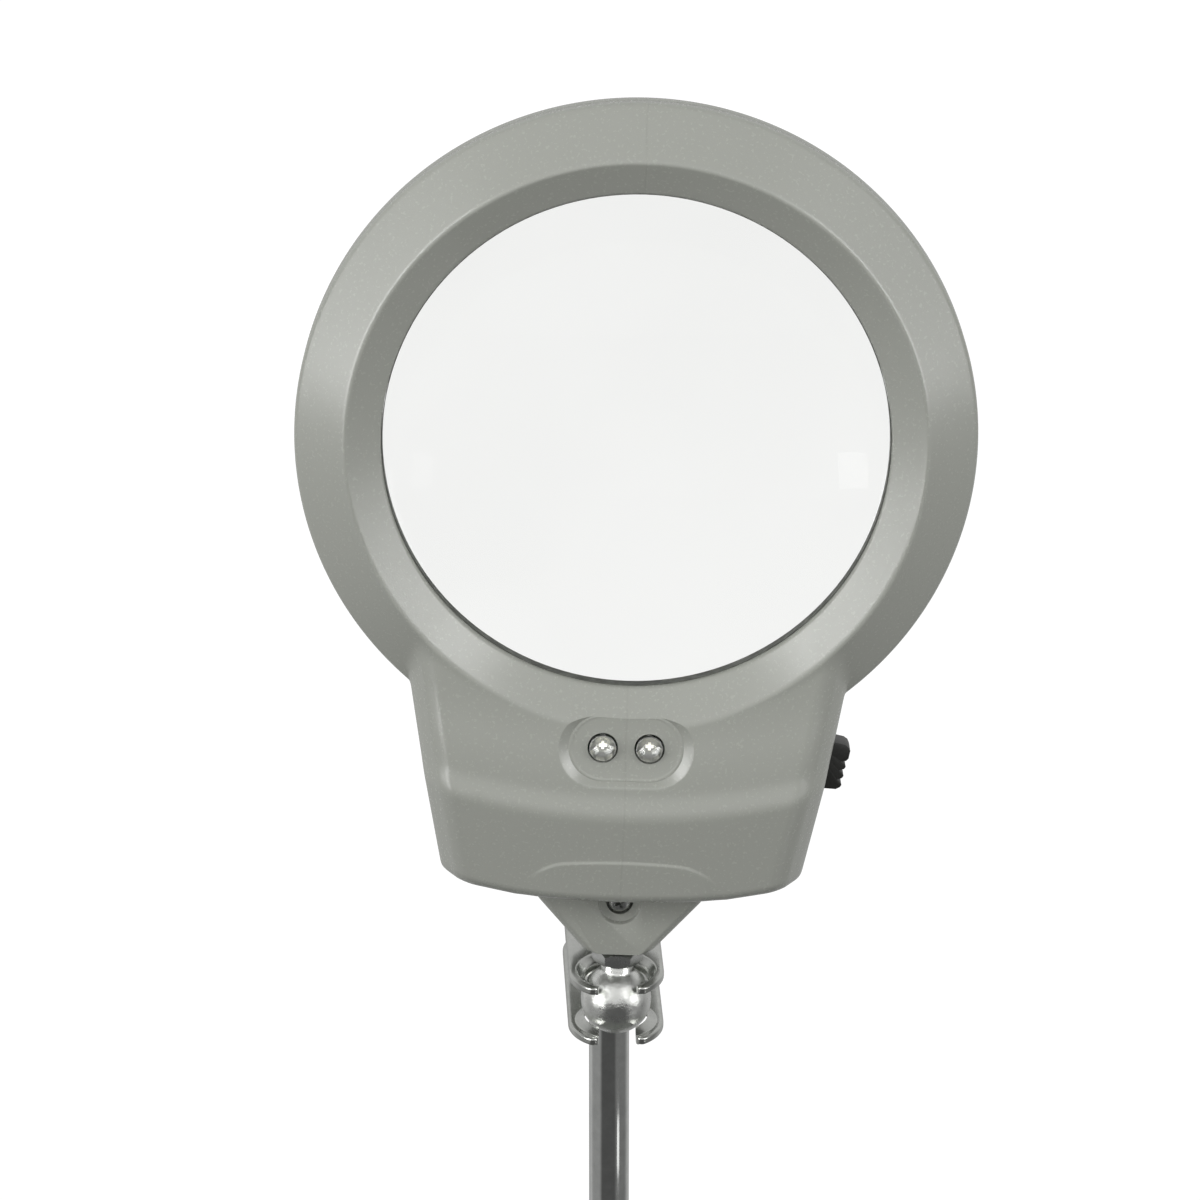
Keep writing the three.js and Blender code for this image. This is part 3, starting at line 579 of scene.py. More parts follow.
def front_height(x, y):
    """Height of the front shell's outer face."""
    r = np.hypot(x, y)
    ring = RIDGE_Z - 0.7356 * (r - RIDGE_R) - round_off(RING_R - r, 0.6) * (r > 55)
    outer = smooth_max(ring, handle_block(x, y), 1.2)
    # the cone inside the ridge is carried up to meet the face
    rim = RIDGE_R / np.maximum(r, 1e-6)
    ridge = smooth_max(RIDGE_Z, handle_block(x * rim, y * rim), 1.2)
    inner = 2.6 + (ridge - 2.6) * (r - OPENING_R) / (RIDGE_R - OPENING_R)
    return smooth_min(inner, outer, 0.55)


# Angles of the fan's rays: close together across the handle, wider round the ring
FAN = np.radians(np.concatenate([np.linspace(-42, 42, 421), np.linspace(42, 318, 277)[1:-1]])) - math.pi / 2


def edge_band(radius, ring_width, side_width, bottom_width):
    """How wide, along each ray, the band is in which the face rounds over into the side wall."""
    step = 1e-3
    slope = (outline_radius(FAN + step) - outline_radius(FAN - step)) / (2 * step)
    facing = 1 / np.sqrt(1 + (slope / radius) ** 2)
    off_centre = np.abs(np.degrees(FAN) + 90)
    side = smooth_step(off_centre, 17.5, 23)
    width = side * side_width / facing + (1 - side) * bottom_width
    return ring_width + smooth_step(radius - RING_R, 0, 4) * (width - ring_width)


def shell(rows):
    """A closed shell from rows of (radius per ray, height per ray), the last joined to the first."""
    bm = bmesh.new()
    rings = []
    for radius, height in rows:
        xs, ys = radius * np.cos(FAN), radius * np.sin(FAN)
        rings.append([bm.verts.new((float(x), float(y), float(z))) for x, y, z in zip(xs, ys, height)])
    bands(bm, rings, closed=True)
    return bm


def rows_over(height, radii):
    return [(r, height(r * np.cos(FAN), r * np.sin(FAN))) for r in radii]


def flat_row(radius, z):
    return (np.full_like(FAN, radius) if np.isscalar(radius) else radius, np.full_like(FAN, z))


def pan_height(x, y):
    """Under the recess the wall stays thick enough for the recess's floor."""
    across = np.hypot(np.maximum(np.abs(x) - 5.3, 0), y - RECESS_Y)
    return np.where(across < 8.2, 5.0, 99.0)


def front_inside(x, y):
    return np.minimum(front_height(x, y) - 2.3, pan_height(x, y))


def front_shell():
    outline = outline_radius(FAN)
    edge = edge_band(outline, 1.2, 4.9, 2.7)
    start = RIDGE_R + 1.1
    ones = np.ones_like(FAN)
    radii = [r * ones for r in (44.25, 44.6, 45.5, 46.6, 47.7, 48.6, 49.1, 49.5, 49.8, 50.0, 50.2, 50.4, 50.6,
                                50.9)]
    spread = np.concatenate([np.linspace(0, 0.76, 40), np.linspace(0.76, 1, 46)[1:]])
    radii += [start + (outline - edge - start) * t for t in spread]
    radii += [outline - edge * (1 - math.sin(a)) for a in np.radians(np.linspace(6, 90, 14))]
    rows = [flat_row(OPENING_R, -0.3), flat_row(OPENING_R, 2.3)]
    rows += rows_over(front_height, radii)
    rim = rows[-1][1]
    rows += [(outline, rim + (SPLIT_FRONT + 0.25 - rim) * t) for t in (0.33, 0.67, 1.0)]
    inner = outline_radius(FAN, WALL)
    rows += [flat_row(outline - 0.2, SPLIT_FRONT), flat_row(inner, SPLIT_FRONT)]
    back_in = [inner + (48.4 - inner) * t for t in np.linspace(0, 1, 22)]
    top = rows_over(front_inside, back_in)
    top[0] = (top[0][0], np.maximum(top[0][1], SPLIT_FRONT + 0.5))
    rows += [(r, np.maximum(z, SPLIT_FRONT + 0.3)) for r, z in top]
    rows += [flat_row(46.8, 1.6), flat_row(46.8, SPLIT_FRONT), flat_row(45.3, SPLIT_FRONT),
             flat_row(45.3, -0.3)]
    return shell(rows)


def stadium(half_length, radius, steps=24):
    right = arc(half_length, 0, radius, -90, 90, steps)
    left = arc(-half_length, 0, radius, 90, 270, steps)
    return right + left


def loft(layers):
    """A solid through outlines of equal length, each with its own height, capped at both ends."""
    bm = bmesh.new()
    rings = [[bm.verts.new((x, y, z)) for x, y in outline] for outline, z in layers]
    bands(bm, rings, closed=False)
    bm.faces.new(rings[0])
    bm.faces.new(rings[-1])
    bmesh.ops.recalc_face_normals(bm, faces=bm.faces)
    return bm


def recess_cutter():
    """The oval recess round the LEDs: a floor along the face, a fine bead, a sloping wall and a soft lip."""
    profile = [(3.85, 5.3, -1.12), (3.92, 5.45, -1.1), (4.0, 5.56, -1.03), (4.08, 5.68, -1.0), (4.16, 5.8, -1.03),
               (4.22, 5.9, -1.06), (4.35, 6.0, -0.92), (5.12, 6.52, -0.14), (5.2, 6.64, -0.03), (5.25, 6.8, 0.05),
               (5.25, 7.0, 0.1), (5.25, 7.1, 3)]
    bm = loft([(stadium(half, r), z) for half, r, z in profile])
    for v in bm.verts:
        v.co.z += float(handle_front(v.co.x, v.co.y + RECESS_Y))
    return moved(bm, y=RECESS_Y)


# The rear shell: a rounded ring, and the battery box under it
def rear_height(x, y):
    r = np.hypot(x, y)
    depth = np.clip((RING_R - r) / 7, 0, 1)
    ring = -4.9 - 4.6 * (1 - (1 - depth) ** 2.6)
    lip = np.clip((46.6 - r) / 1.8, 0, 1)
    ring = ring + 1.3 * lip**2
    box = -9.3 + (BACK_Z + 9.3) * smooth_step(-y, 46.8, 51.5)
    box = box + round_off(side_distance(x, y), 3.5) + round_off(y - bottom_line(x), 3.5)
    box = np.where((-y < 45) | (side_distance(x, y) < 0), -4.9, box)
    return smooth_min(ring, np.where(r < 46.5, 0, box), 0.8)


def rear_shell():
    outline = outline_radius(FAN)
    edge = edge_band(outline, 2.4, 3.8, 3.8)
    start = 46.8
    ones = np.ones_like(FAN)
    radii = [r * ones for r in (44.9, 45.2, 45.7, 46.2)]
    radii += [start + (outline - edge - start) * t for t in np.linspace(0, 1, 60)]
    radii += [outline - edge * (1 - math.sin(a)) for a in np.radians(np.linspace(7, 90, 12))]
    rows = [flat_row(44.8, -4.9), flat_row(44.8, -7.7)]
    rows += rows_over(rear_height, radii)
    rim = rows[-1][1]
    rows += [(outline, rim + (SPLIT_REAR - 0.25 - rim) * t) for t in (0.5, 1.0)]
    inner = outline_radius(FAN, WALL)
    rows += [flat_row(outline - 0.2, SPLIT_REAR), flat_row(inner, SPLIT_REAR)]
    inward = [inner + (48.4 - inner) * t for t in np.linspace(0, 1, 30)]
    inward = rows_over(lambda x, y: rear_height(x, y) + 2.0, inward)
    rows += [(r, np.minimum(z, SPLIT_REAR - 0.3)) for r, z in inward]
    rows += [flat_row(48.4, SPLIT_REAR), flat_row(46.9, SPLIT_REAR), flat_row(46.9, -4.9)]
    return shell(rows)


def on_right_wall(bm):
    """Moves a shape drawn with x out of the handle's right wall and y up along it to the switch's place."""
    tilt = math.atan(6 / 34.3)
    x = SIDE_AT_CENTRE + SIDE_SLOPE * SWITCH_Y - 0.15
    return moved(bm, x, SWITCH_Y, turn=Matrix.Rotation(-tilt, 4, "Z"))


SWITCH_Y = -59.6
SWITCH_Z = -5.9

DOOR_HALF = 23.6
DOOR_TOP = -52.2
DOOR_BOTTOM = -78.8
HINGE_Y = DOOR_BOTTOM + 1.1
HINGE_Z = BACK_Z + 1.1


def tube(outer, inner, z0, z1, segments=48, bevel=0.0):
    profile = [(inner, z0), (outer, z0), (outer, z1), (inner, z1)]
    if bevel:
        profile = fillet(profile, [0, bevel, bevel, 0], 3, closed=True)
    return lathe(profile, segments, closed=True)


def tongue_outline(top, inset=0.0):
    """The tongue under the handle, which narrows to the stud. inset moves its slanted sides in."""
    run, rise = 8.2, 9.3
    side, corner, foot = 14.8 - inset * 0.5, 6.5 - inset, 5.2 - inset * 0.8

    def slant(x):
        return -87.1 + (x - 14.8) * rise / run + inset * math.hypot(run, rise) / run

    right = [(foot, -97.4 + min(inset, 0.3)), (corner, slant(corner)), (side, slant(side)), (side, top)]
    left = [(-x, y) for x, y in reversed(right)]
    return fillet(left + right, [0, 1.2, 1.6, 1.2, 1.2, 1.6, 1.2, 0], 6)


TONGUE_SCREW_Y = -87.4


def make_front_housing():
    bm = front_shell()
    holes = [moved(cylinder(2.66, -3, 12, 64), x, RECESS_Y) for x in (-LED_X, LED_X)]
    bm = cut(bm, recess_cutter(), *holes)
    bosses = []
    for x, y in SCREW_SPOTS:
        top = 1.6 if math.hypot(x, y) < 57 else 2.0
        bosses.append(moved(tube(2.8, 1.6, SPLIT_FRONT, top, 24), x, y))
    head_piece("front_housing_skin", joined(bm, *bosses), GREY_FRONT, "front_housing", sharp=40)


def make_rear_housing():
    bm = rear_shell()
    door = block(-DOOR_HALF - 0.3, DOOR_HALF + 0.3, DOOR_BOTTOM - 0.3, DOOR_TOP + 0.3, -30, -13)
    knob = on_right_wall(block(-6, 6, -8, 5, SWITCH_Z - 2.8, SWITCH_Z + 2.8))
    wells = [moved(cylinder(2.9, -30, -6.6, 32), x, y) for x, y in SCREW_SPOTS]
    bm = cut(bm, door, knob, *wells)
    extras = []
    for x, y in SCREW_SPOTS:
        bottom = -8.9 if y > -40 else -8.0
        extras.append(moved(tube(3.9, 2.9, bottom, -6.6, 32), x, y))
        extras.append(moved(tube(3.9, 1.6, -6.6, SPLIT_REAR - 0.1, 32), x, y))
    for side in (-1, 1):
        x0, x1 = sorted((side * 23.9, side * 26.2))
        extras.append(block(x0, x1, HINGE_Y - 1.8, HINGE_Y + 1.8, BACK_Z + 1.0, HINGE_Z + 1.8, 0.2))
    back = prism(tongue_outline(-82.2), -13.2, -8.65, 0.5)
    back = cut(back, moved(cylinder(1.6, -12, 0, 24), 0, TONGUE_SCREW_Y))
    head_piece("rear_housing_skin", joined(bm, *extras, back), GREY, "rear_housing", sharp=40)


def make_tongue_cap():
    top = -80.8
    insets = ((0.2, -8.35), (0.02, -8.15), (0.0, -6.0), (0.12, -5.3), (0.3, -5.0), (1.2, -3.85), (1.45, -3.66),
              (1.7, -3.6))
    bm = loft([(tongue_outline(top, inset), z) for inset, z in insets])
    recess = moved(lathe([(0, -4.9), (2.4, -4.9), (3.6, -4.9), (3.72, -4.82), (3.76, -4.6), (3.8, -3.75),
                          (3.9, -3.62), (4.1, -3.5), (4.1, -3.2), (0, -3.2)], 72), 0, TONGUE_SCREW_Y)
    hole = moved(cylinder(2.4, -6.2, -3, 48), 0, TONGUE_SCREW_Y)
    bore = moved(cylinder(1.6, -20, -3, 32), 0, TONGUE_SCREW_Y)
    room = moved(cylinder(2.7, -4, 16, 32), turn=spin(90, "X"))
    room = moved(room, 0, -93, -8.5)
    bm = cut(bm, recess, hole, bore, room)
    head_piece("tongue_cap_skin", bm, GREY, "tongue_cap", sharp=40)


# ---------- lens, LEDs and what is inside the head ----------
def make_lens():
    radius, curve, edge = 45.0, 190.0, 2.5
    rs = np.linspace(0, radius - 0.15, 40)
    drop = math.sqrt(curve**2 - radius**2)
    front = [(float(r), edge / 2 + math.sqrt(curve**2 - r * r) - drop) for r in rs]
    rim = [(radius, edge / 2 - 0.15), (radius, -edge / 2 + 0.15)]
    back = [(r, -z) for r, z in reversed(front)]
    profile = [(r, z + LENS_MID) for r, z in front + rim + back]
    head_piece("lens_glass", lathe(profile, 144), GLASS, "lens", sharp=30)
    ring = lathe(fillet([(44.9, -4.6), (46.6, -4.6), (46.6, -3.5), (44.9, -3.5)], 0.2, 2, closed=True), 144, True)
    head_piece("lens_retaining_ring", ring, BLACK, "lens_retainer")
    # a thin dark ring on the opening's wall, put there as painted shade for the shadowed gap at the lens's seat
    seat_shade_ring = tube(44.05, 43.92, -0.35, 1.9, 144)
    head_piece("lens_seat_shade_ring", seat_shade_ring, SEAT_SHADE)


def make_leds():
    for name, x in (("left", -LED_X), ("right", LED_X)):
        dome = [(2.5 * math.cos(a), 6.5 + 2.5 * math.sin(a)) for a in np.radians(np.linspace(0, 90, 14))]
        dome[-1] = (0, 9.0)
        body = [(0, -0.7), (2.9, -0.7), (2.9, 0.2), (2.5, 0.35)] + dome
        shape = moved(lathe(body, 64), x, RECESS_Y)
        head_piece(f"led_{name}_epoxy", shape, EPOXY, f"led_{name}")
        cup = lathe([(0, 5.1), (0.8, 5.1), (2.1, 6.8), (1.95, 6.9), (1.3, 6.15), (0.6, 5.7), (0, 5.7)], 9)
        lead = moved(block(-0.3, 0.3, -0.25, 0.25, -0.6, 5.1), -0.45)
        anvil = loft([([(0.75, -0.4), (1.25, -0.4), (1.25, 0.4), (0.75, 0.4)], -0.6),
                      ([(1.4, -0.5), (1.9, -0.5), (1.9, 0.5), (1.4, 0.5)], 4.9)])
        die = joined(block(-0.42, 0.42, -0.14, 0.14, 5.7, 6.0), block(-0.14, 0.14, -0.42, 0.42, 5.7, 5.98))
        metal = moved(joined(cup, lead, anvil), x, RECESS_Y)
        head_piece(f"led_{name}_frame", metal, SILVERED, sharp=10)
        # the die's glow is painted light for the bright spot at each LED's centre
        head_piece(f"led_{name}_die", moved(die, x, RECESS_Y), PHOSPHOR)


def phillips_recess(z_top, reach, depth):
    """A cutter for a cross recess whose arms taper towards their tip."""
    arms = []
    for turn in (0, 90):
        arm = loft([([(-reach * 0.35, -0.12), (reach * 0.35, -0.12), (reach * 0.35, 0.12), (-reach * 0.35, 0.12)],
                     z_top - depth),
                    ([(-reach, -0.3), (reach, -0.3), (reach, 0.3), (-reach, 0.3)], z_top + 0.05)])
        arms.append(moved(arm, turn=spin(turn)))
    return arms


def make_tongue_screw():
    seat = -5.9
    profile = [(0, -10.5), (1.0, -10.1), (1.3, -9.6), (1.3, seat), (2.1, seat), (2.15, seat + 0.45),
               (1.95, seat + 1.0), (1.45, seat + 1.4), (0.7, seat + 1.55), (0, seat + 1.58)]
    bm = lathe(profile, 48)
    cross = [moved(arm, turn=spin(28)) for arm in
             phillips_recess(seat + 1.6, 1.25, 1.1)]
    bm = cut(bm, *cross)
    head_piece("tongue_screw_steel", moved(bm, 0, TONGUE_SCREW_Y), ZINC, "tongue_screw")


def make_housing_screws():
    profile = [(0, -8.45), (1.2, -8.35), (2.0, -8.0), (2.4, -7.5), (2.5, -6.9), (1.3, -6.9), (1.3, 0.0), (0, 0.75)]
    for i, (x, y) in enumerate(SCREW_SPOTS, 1):
        bm = lathe(profile, 40)
        arms = [moved(arm, turn=spin(180, "X")) for arm in phillips_recess(8.5, 1.3, 1.0)]
        bm = cut(bm, *arms)
        bm = moved(bm, x, y, turn=spin(23 * i))
        head_piece(f"housing_screw_{i}_steel", bm, ZINC, f"housing_screw_{i}")


def make_switch():
    half, proud, depth = 4.5, 3.9, 2.4
    outline = [(-4.2, -half), (0, -half), (proud - 1.0, -half + 0.35)]
    for i in range(3):
        y = -half + 0.5 + i * 1.75
        outline += [(proud - 0.35, y + 0.35), (proud - 0.15, y + 0.8), (proud - 0.45, y + 1.35),
                    (proud - 1.05, y + 1.6), (proud - 1.1, y + 1.75)]
    outline += [(proud - 0.35, half - 3.1), (proud, half - 2.6), (proud, half - 1.1), (proud - 0.45, half - 0.45),
                (proud - 1.2, half - 0.1), (0, half), (-4.2, half)]
    bm = on_right_wall(prism(outline, SWITCH_Z - depth, SWITCH_Z + depth, 0.18, 2))
    piece("switch_knob_skin", bm, LENS, BLACK, "switch_knob", "switch_knob", sharp=35)
    body = on_right_wall(block(-7.4, -4.6, -7.4, 5.8, SWITCH_Z - 3, SWITCH_Z + 3, 0.25))
    pins = [on_right_wall(moved(block(-8.6, -7.4, -0.25, 0.25, SWITCH_Z - 0.6, SWITCH_Z + 0.6), y=y))
            for y in (-4.5, -0.8, 2.9)]
    head_piece("switch_body_skin", body, BLACK, "switch_body")
    head_piece("switch_pins", joined(*pins), NICKEL)


def make_battery_door():
    panel = block(-DOOR_HALF, DOOR_HALF, HINGE_Y, DOOR_TOP, BACK_Z, BACK_Z + 1.5, 0.25)
    grooves = [block(-7, 7, DOOR_TOP - 4.45 - i * 1.8, DOOR_TOP - 3.55 - i * 1.8, BACK_Z - 1, BACK_Z + 0.5)
               for i in range(5)]
    arrow = prism([(-3.2, 0), (3.2, 0), (0, -3.6)], BACK_Z - 1, BACK_Z + 0.35)
    panel = cut(panel, *grooves, moved(arrow, y=DOOR_TOP - 14.5))
    turn = spin(90, "Y")
    barrel = moved(cylinder(1.1, -DOOR_HALF, DOOR_HALF, 32, 0.15), 0, HINGE_Y, HINGE_Z, turn=turn)
    pin = moved(cylinder(0.7, -25.2, 25.2, 24, 0.15), 0, HINGE_Y, HINGE_Z, turn=turn)
    piece("battery_door_skin", joined(panel, barrel, pin), LENS, GREY, "battery_door", "battery_door")


CELL_ROWS = (("upper", -53.9, False), ("middle", -64.4, True), ("lower", -74.9, False))
CELL_Z = -9.3


def make_batteries():
    for row, y, flip in CELL_ROWS:
        turn = spin(-90 if flip else 90, "Y")
        sleeve = fillet([(0, -22.1), (4.3, -22.1), (5.2, -22.1), (5.2, 20.9), (4.3, 20.9), (0, 20.9)],
                        [0, 0, 0.5, 0.5, 0, 0], 4)
        can = moved(lathe(sleeve, 48), 0, y, CELL_Z, turn)
        head_piece(f"battery_{row}_sleeve", can, SLEEVE, f"battery_{row}")
        ends = joined(lathe(fillet([(0, 20.8), (4.2, 20.8), (4.2, 21.2), (1.9, 21.2), (1.9, 22.25), (0, 22.25)],
                                   [0, 0, 0.2, 0, 0.3, 0], 3), 40),
                      lathe([(0, -22.25), (3.9, -22.25), (4.2, -22.0), (0, -22.0)], 40))
        head_piece(f"battery_{row}_ends", moved(ends, 0, y, CELL_Z, turn=turn), NICKEL)


def coil(turns, r0, r1, x0, x1, wire, steps=160):
    """A conical coil of round wire about the x axis."""
    bm = bmesh.new()
    rings = []
    for k in range(steps + 1):
        t = k / steps
        a = t * turns * 2 * math.pi
        r = r0 + (r1 - r0) * t
        out = Vector((0, math.cos(a), math.sin(a)))
        middle = Vector((x0 + (x1 - x0) * t, 0, 0)) + out * r
        rings.append([bm.verts.new(middle + (out * math.cos(b) + X * math.sin(b)) * wire)
                      for b in np.linspace(0, 2 * math.pi, 10, endpoint=False)])
    bands(bm, rings, closed=False)
    bm.faces.new(rings[0])
    bm.faces.new(rings[-1])
    return bm


def make_contacts():
    for row, y, flip in CELL_ROWS:
        bm = moved(coil(3, 3.4, 2.0, 0.6, 3.2, 0.35), 25.9 if flip else -25.9, y, CELL_Z, spin(180 * flip))
        head_piece(f"contact_spring_{row}_wire", bm, NICKEL, f"contact_spring_{row}")
    for side, x0 in (("left", -26.4), ("right", 25.9)):
        plate = block(x0, x0 + 0.5, -79, -50.4, -13, -5, 0.1)
        head_piece(f"contact_plate_{side}_metal", plate, NICKEL, f"contact_plate_{side}")


def swept(points, radius, steps=60, sides=16):
    """A round wire through points, bent smoothly."""
    curve = bpy.data.curves.new("wire", "CURVE")
    curve.dimensions = "3D"
    curve.bevel_depth = radius
    curve.bevel_resolution = sides // 4
    curve.use_fill_caps = True
    line = curve.splines.new("NURBS")
    line.points.add(len(points) - 1)
    for target, point in zip(line.points, points):
        target.co = (*point, 1)
    line.use_endpoint_u = True
    line.order_u = 3
    line.resolution_u = steps // len(points)
    return evaluated_copy(as_object(curve))


def make_electronics():
    board = block(-11, 11, -60, -48.9, -2.2, -1.0, 0.08)
    head_piece("led_board_laminate", board, BOARD, "led_board")
    turn = spin(90, "Y")
    body = lathe(fillet([(0, -3.2), (1.1, -3.2), (1.1, -2.0), (0.85, -1.8), (0.85, 1.8), (1.1, 2.0), (1.1, 3.2),
                         (0, 3.2)], [0, 0.4, 0.1, 0.1, 0.1, 0.1, 0.4, 0], 3), 32)
    head_piece("led_resistor_body", moved(body, 0, -59, 0.5, turn=turn), SLEEVE, "led_resistor")
    for side, name, look in ((1, "positive", RED_PVC), (-1, "negative", BLACK_PVC)):
        points = [(27.2, -70, -6), (27.3, -69, -2), (26, -67, 0.6), (20, -62, 1.5), (15, -58, 1.2), (12.2, -56, 0)]
        bm = swept([(side * x, y, z) for x, y, z in points], 0.55)
        head_piece(f"wire_{name}_sleeve", bm, look, f"wire_{name}")


for make in (make_front_housing, make_rear_housing, make_tongue_cap, make_lens, make_leds, make_tongue_screw,
             make_housing_screws, make_switch, make_battery_door, make_batteries, make_contacts, make_electronics):
    make()


# ---------- stand and clamp ----------
BALL_R = 6.4
NECK_R = 3.0


def hexagon(across_flats):
    r = across_flats / math.sqrt(3)
    return [(r * math.cos(math.radians(60 * i)), r * math.sin(math.radians(60 * i))) for i in range(6)]


def hex_nut(across_flats, bore, z0, z1):
    """A nut whose corners are turned off at both faces, with a countersunk bore."""
    bm = prism(hexagon(across_flats), z0, z1)
    r = across_flats / math.sqrt(3)
    turned_down = lathe([(0, z0 - 0.01), (across_flats / 2 - 0.15, z0 - 0.01), (r + 0.05, z0 + 0.55),
                         (r + 0.05, z1 - 0.55), (across_flats / 2 - 0.15, z1 + 0.01), (0, z1 + 0.01)], 72)
    bm = boolean(bm, "INTERSECT", turned_down)
    hole = lathe([(0, z0 - 1), (bore + 1.4, z0 - 1), (bore, z0 + 0.45), (bore, z1 - 0.45), (bore + 1.4, z1 + 1),
                  (0, z1 + 1)], 48)
    return cut(bm, hole)


def threaded(radius, z0, z1, pitch, rise=0.12):
    """Profile points of a thread's crests and roots, drawn as rings."""
    points = []
    z = z0
    while z + pitch <= z1:
        points += [(radius - rise, z), (radius, z + pitch * 0.35), (radius, z + pitch * 0.6),
                   (radius - rise, z + pitch * 0.95)]
        z += pitch
    return points


def ball_stud(neck_top, stud_top):
    start = math.degrees(math.asin(NECK_R / BALL_R))
    ball = [(BALL_R * math.sin(a), -BALL_R * math.cos(a)) for a in np.radians(np.linspace(0, 180 - start - 3, 60))]
    ball[0] = (0, -BALL_R)
    profile = ball + [(NECK_R + 0.02, BALL_R * 0.93), (NECK_R, neck_top - 0.35), (NECK_R - 0.3, neck_top),
                      (2.3, neck_top)]
    profile += threaded(2.4, neck_top + 0.1, stud_top - 0.7, 0.8)
    profile += [(2.3, stud_top - 0.6), (1.8, stud_top), (0, stud_top)]
    return lathe(profile, 96)


def plate_outline():
    """A long oval with a notch for a stud's neck at each end, the notch's two corners rounded."""
    half_width, notch, tip, half = 8.7, 3.35, 1.1, BALL_SPACING / 2
    tip_x = notch + tip
    tip_y = math.sqrt((half_width - tip) ** 2 - tip_x**2)
    lean = math.degrees(math.atan2(tip_y, tip_x))
    end = arc(0, half, half_width, 0, lean, 24)
    end += arc(tip_x, half + tip_y, tip, lean, 180, 12)[1:]
    floor = fillet([(notch, half + 3), (notch, half), (-notch, half), (-notch, half + 3)], [0, 1.2, 1.2, 0], 5)
    end += floor[1:-1]
    end += arc(-tip_x, half + tip_y, tip, 0, 180 - lean, 12)
    end += arc(0, half, half_width, 180 - lean, 180, 24)[1:]
    return end + [(-x, -y) for x, y in end]


def clamp_plate():
    """Pressed steel: a flat strap with a seat pressed inwards round each ball."""
    inner, top = 4.4, 5.9
    outline = plate_outline()
    half = BALL_SPACING / 2
    strap = prism(outline, inner, top, 0.45, 4)
    holes = [moved(cylinder(7.6, 3, 8, 96), y=y) for y in (-half, half)]
    strap = cut(strap, *holes, cylinder(2.3, 0, 20, 48))
    seats = []
    for y in (-half, half):
        profile = [(7.9, inner), (7.9, top), (7.45, top), (7.2, top - 0.06), (6.95, top - 0.25), (6.2, top - 0.88),
                   (5.95, top - 1.05), (5.82, top - 1.25), (5.75, top - 1.5), (5.75, inner - 0.95),
                   (6.15, inner - 0.85), (7.1, inner - 0.12), (7.35, inner)]
        seat = moved(lathe(profile, 120, closed=True), y=y)
        seats.append(boolean(seat, "INTERSECT", prism(outline, inner - 2, top + 1)))
    return boolean(strap, "UNION", *seats)


def make_clamp():
    for name, turn in (("clamp_plate_upper", 0), ("clamp_plate_lower", 180)):
        plate = moved(clamp_plate(), turn=spin(turn, "Y"))
        piece(f"{name}_steel", plate, CLAMP, PRESSED, "clamp", name, sharp=28)
    head = -6.2
    dome = fillet([(0, head - 2.6), (2.6, head - 2.4), (4.4, head - 1.2), (4.8, head), (2.0, head)],
                  [0, 1.0, 1.0, 0.15, 0], 5)
    shank = [(2.0, 8.0)] + threaded(2.0, 8.1, 12.2, 0.7) + [(1.9, 12.3), (1.5, 12.8), (0, 12.8)]
    screw = lathe(dome + shank, 72)
    cross = [moved(arm, turn=spin(180, "X")) for arm in phillips_recess(-head + 2.6, 1.9, 1.6)]
    screw = cut(screw, *cross)
    piece("clamp_screw_steel", screw, CLAMP, ZINC, "clamp", "clamp_screw")
    piece("clamp_washer_steel", tube(5.2, 2.3, 6.2, 7.2, 64, 0.2), CLAMP, ZINC, "clamp", "clamp_washer")
    hub = lathe(fillet([(0, 0), (4.0, 0), (3.2, 4), (0, 4)], [0, 0.3, 0.5, 0], 4), 64)
    ear = [(0, 0.8), (4, 1), (5.6, 1.6), (7.2, 2.9), (8.7, 4.4), (9.4, 5.6), (9.35, 6.6), (8.7, 7.25), (7.7, 7.35),
           (6.7, 6.9), (5.4, 5.4), (4.0, 3.9), (0, 3.4)]
    # as drawn, a little over the CAD nut's reach and height
    ear = [(x * 0.985, y * 0.955) for x, y in ear]
    upright = spin(90, "X")
    ears = []
    for turn in (0, 180):
        blade = moved(prism(fillet(ear, 0.8, 3, closed=True), -0.85, 0.85, 0.25), turn=upright)
        ears.append(moved(blade, turn=spin(turn)))
    nut = remeshed(boolean(hub, "UNION", *ears), 0.17, 4)
    nut = cut(nut, cylinder(2.1, -1, 12, 40))
    nut = moved(nut, 0, 0, 7.5, turn=spin(4))
    piece("wing_nut_casting", nut, CLAMP, ZINC, "wing_nut", "wing_nut", sharp=50)


def make_balls():
    piece("head_ball_stud_steel", ball_stud(7.1, 17.3), STUD, BALL_PLATE, "head_ball", "head_ball_stud", sharp=40)
    piece("stud_lock_nut_steel", hex_nut(8, 2.45, 7.3, 9.8), STUD, ZINC, "head_ball", "stud_lock_nut")
    piece("stud_insert_nut_steel", hex_nut(8, 2.45, 12.0, 15.4), STUD, ZINC, "head", "stud_insert_nut")
    piece("rod_ball_stud_steel", ball_stud(11, 20), ROD_DOWN, BALL_PLATE, "rod_ball", "rod_ball_stud", sharp=40)


def rounded_rectangle(half_x, half_y, corner, steps=14):
    x, y = half_x - corner, half_y - corner
    corners = ((x, y), (-x, y), (-x, -y), (x, -y))
    return [p for i, (cx, cy) in enumerate(corners) for p in arc(cx, cy, corner, 90 * i, 90 * i + 90, steps)]


FOOT_X, FOOT_Y = 55, 32
ROD_Y = 25


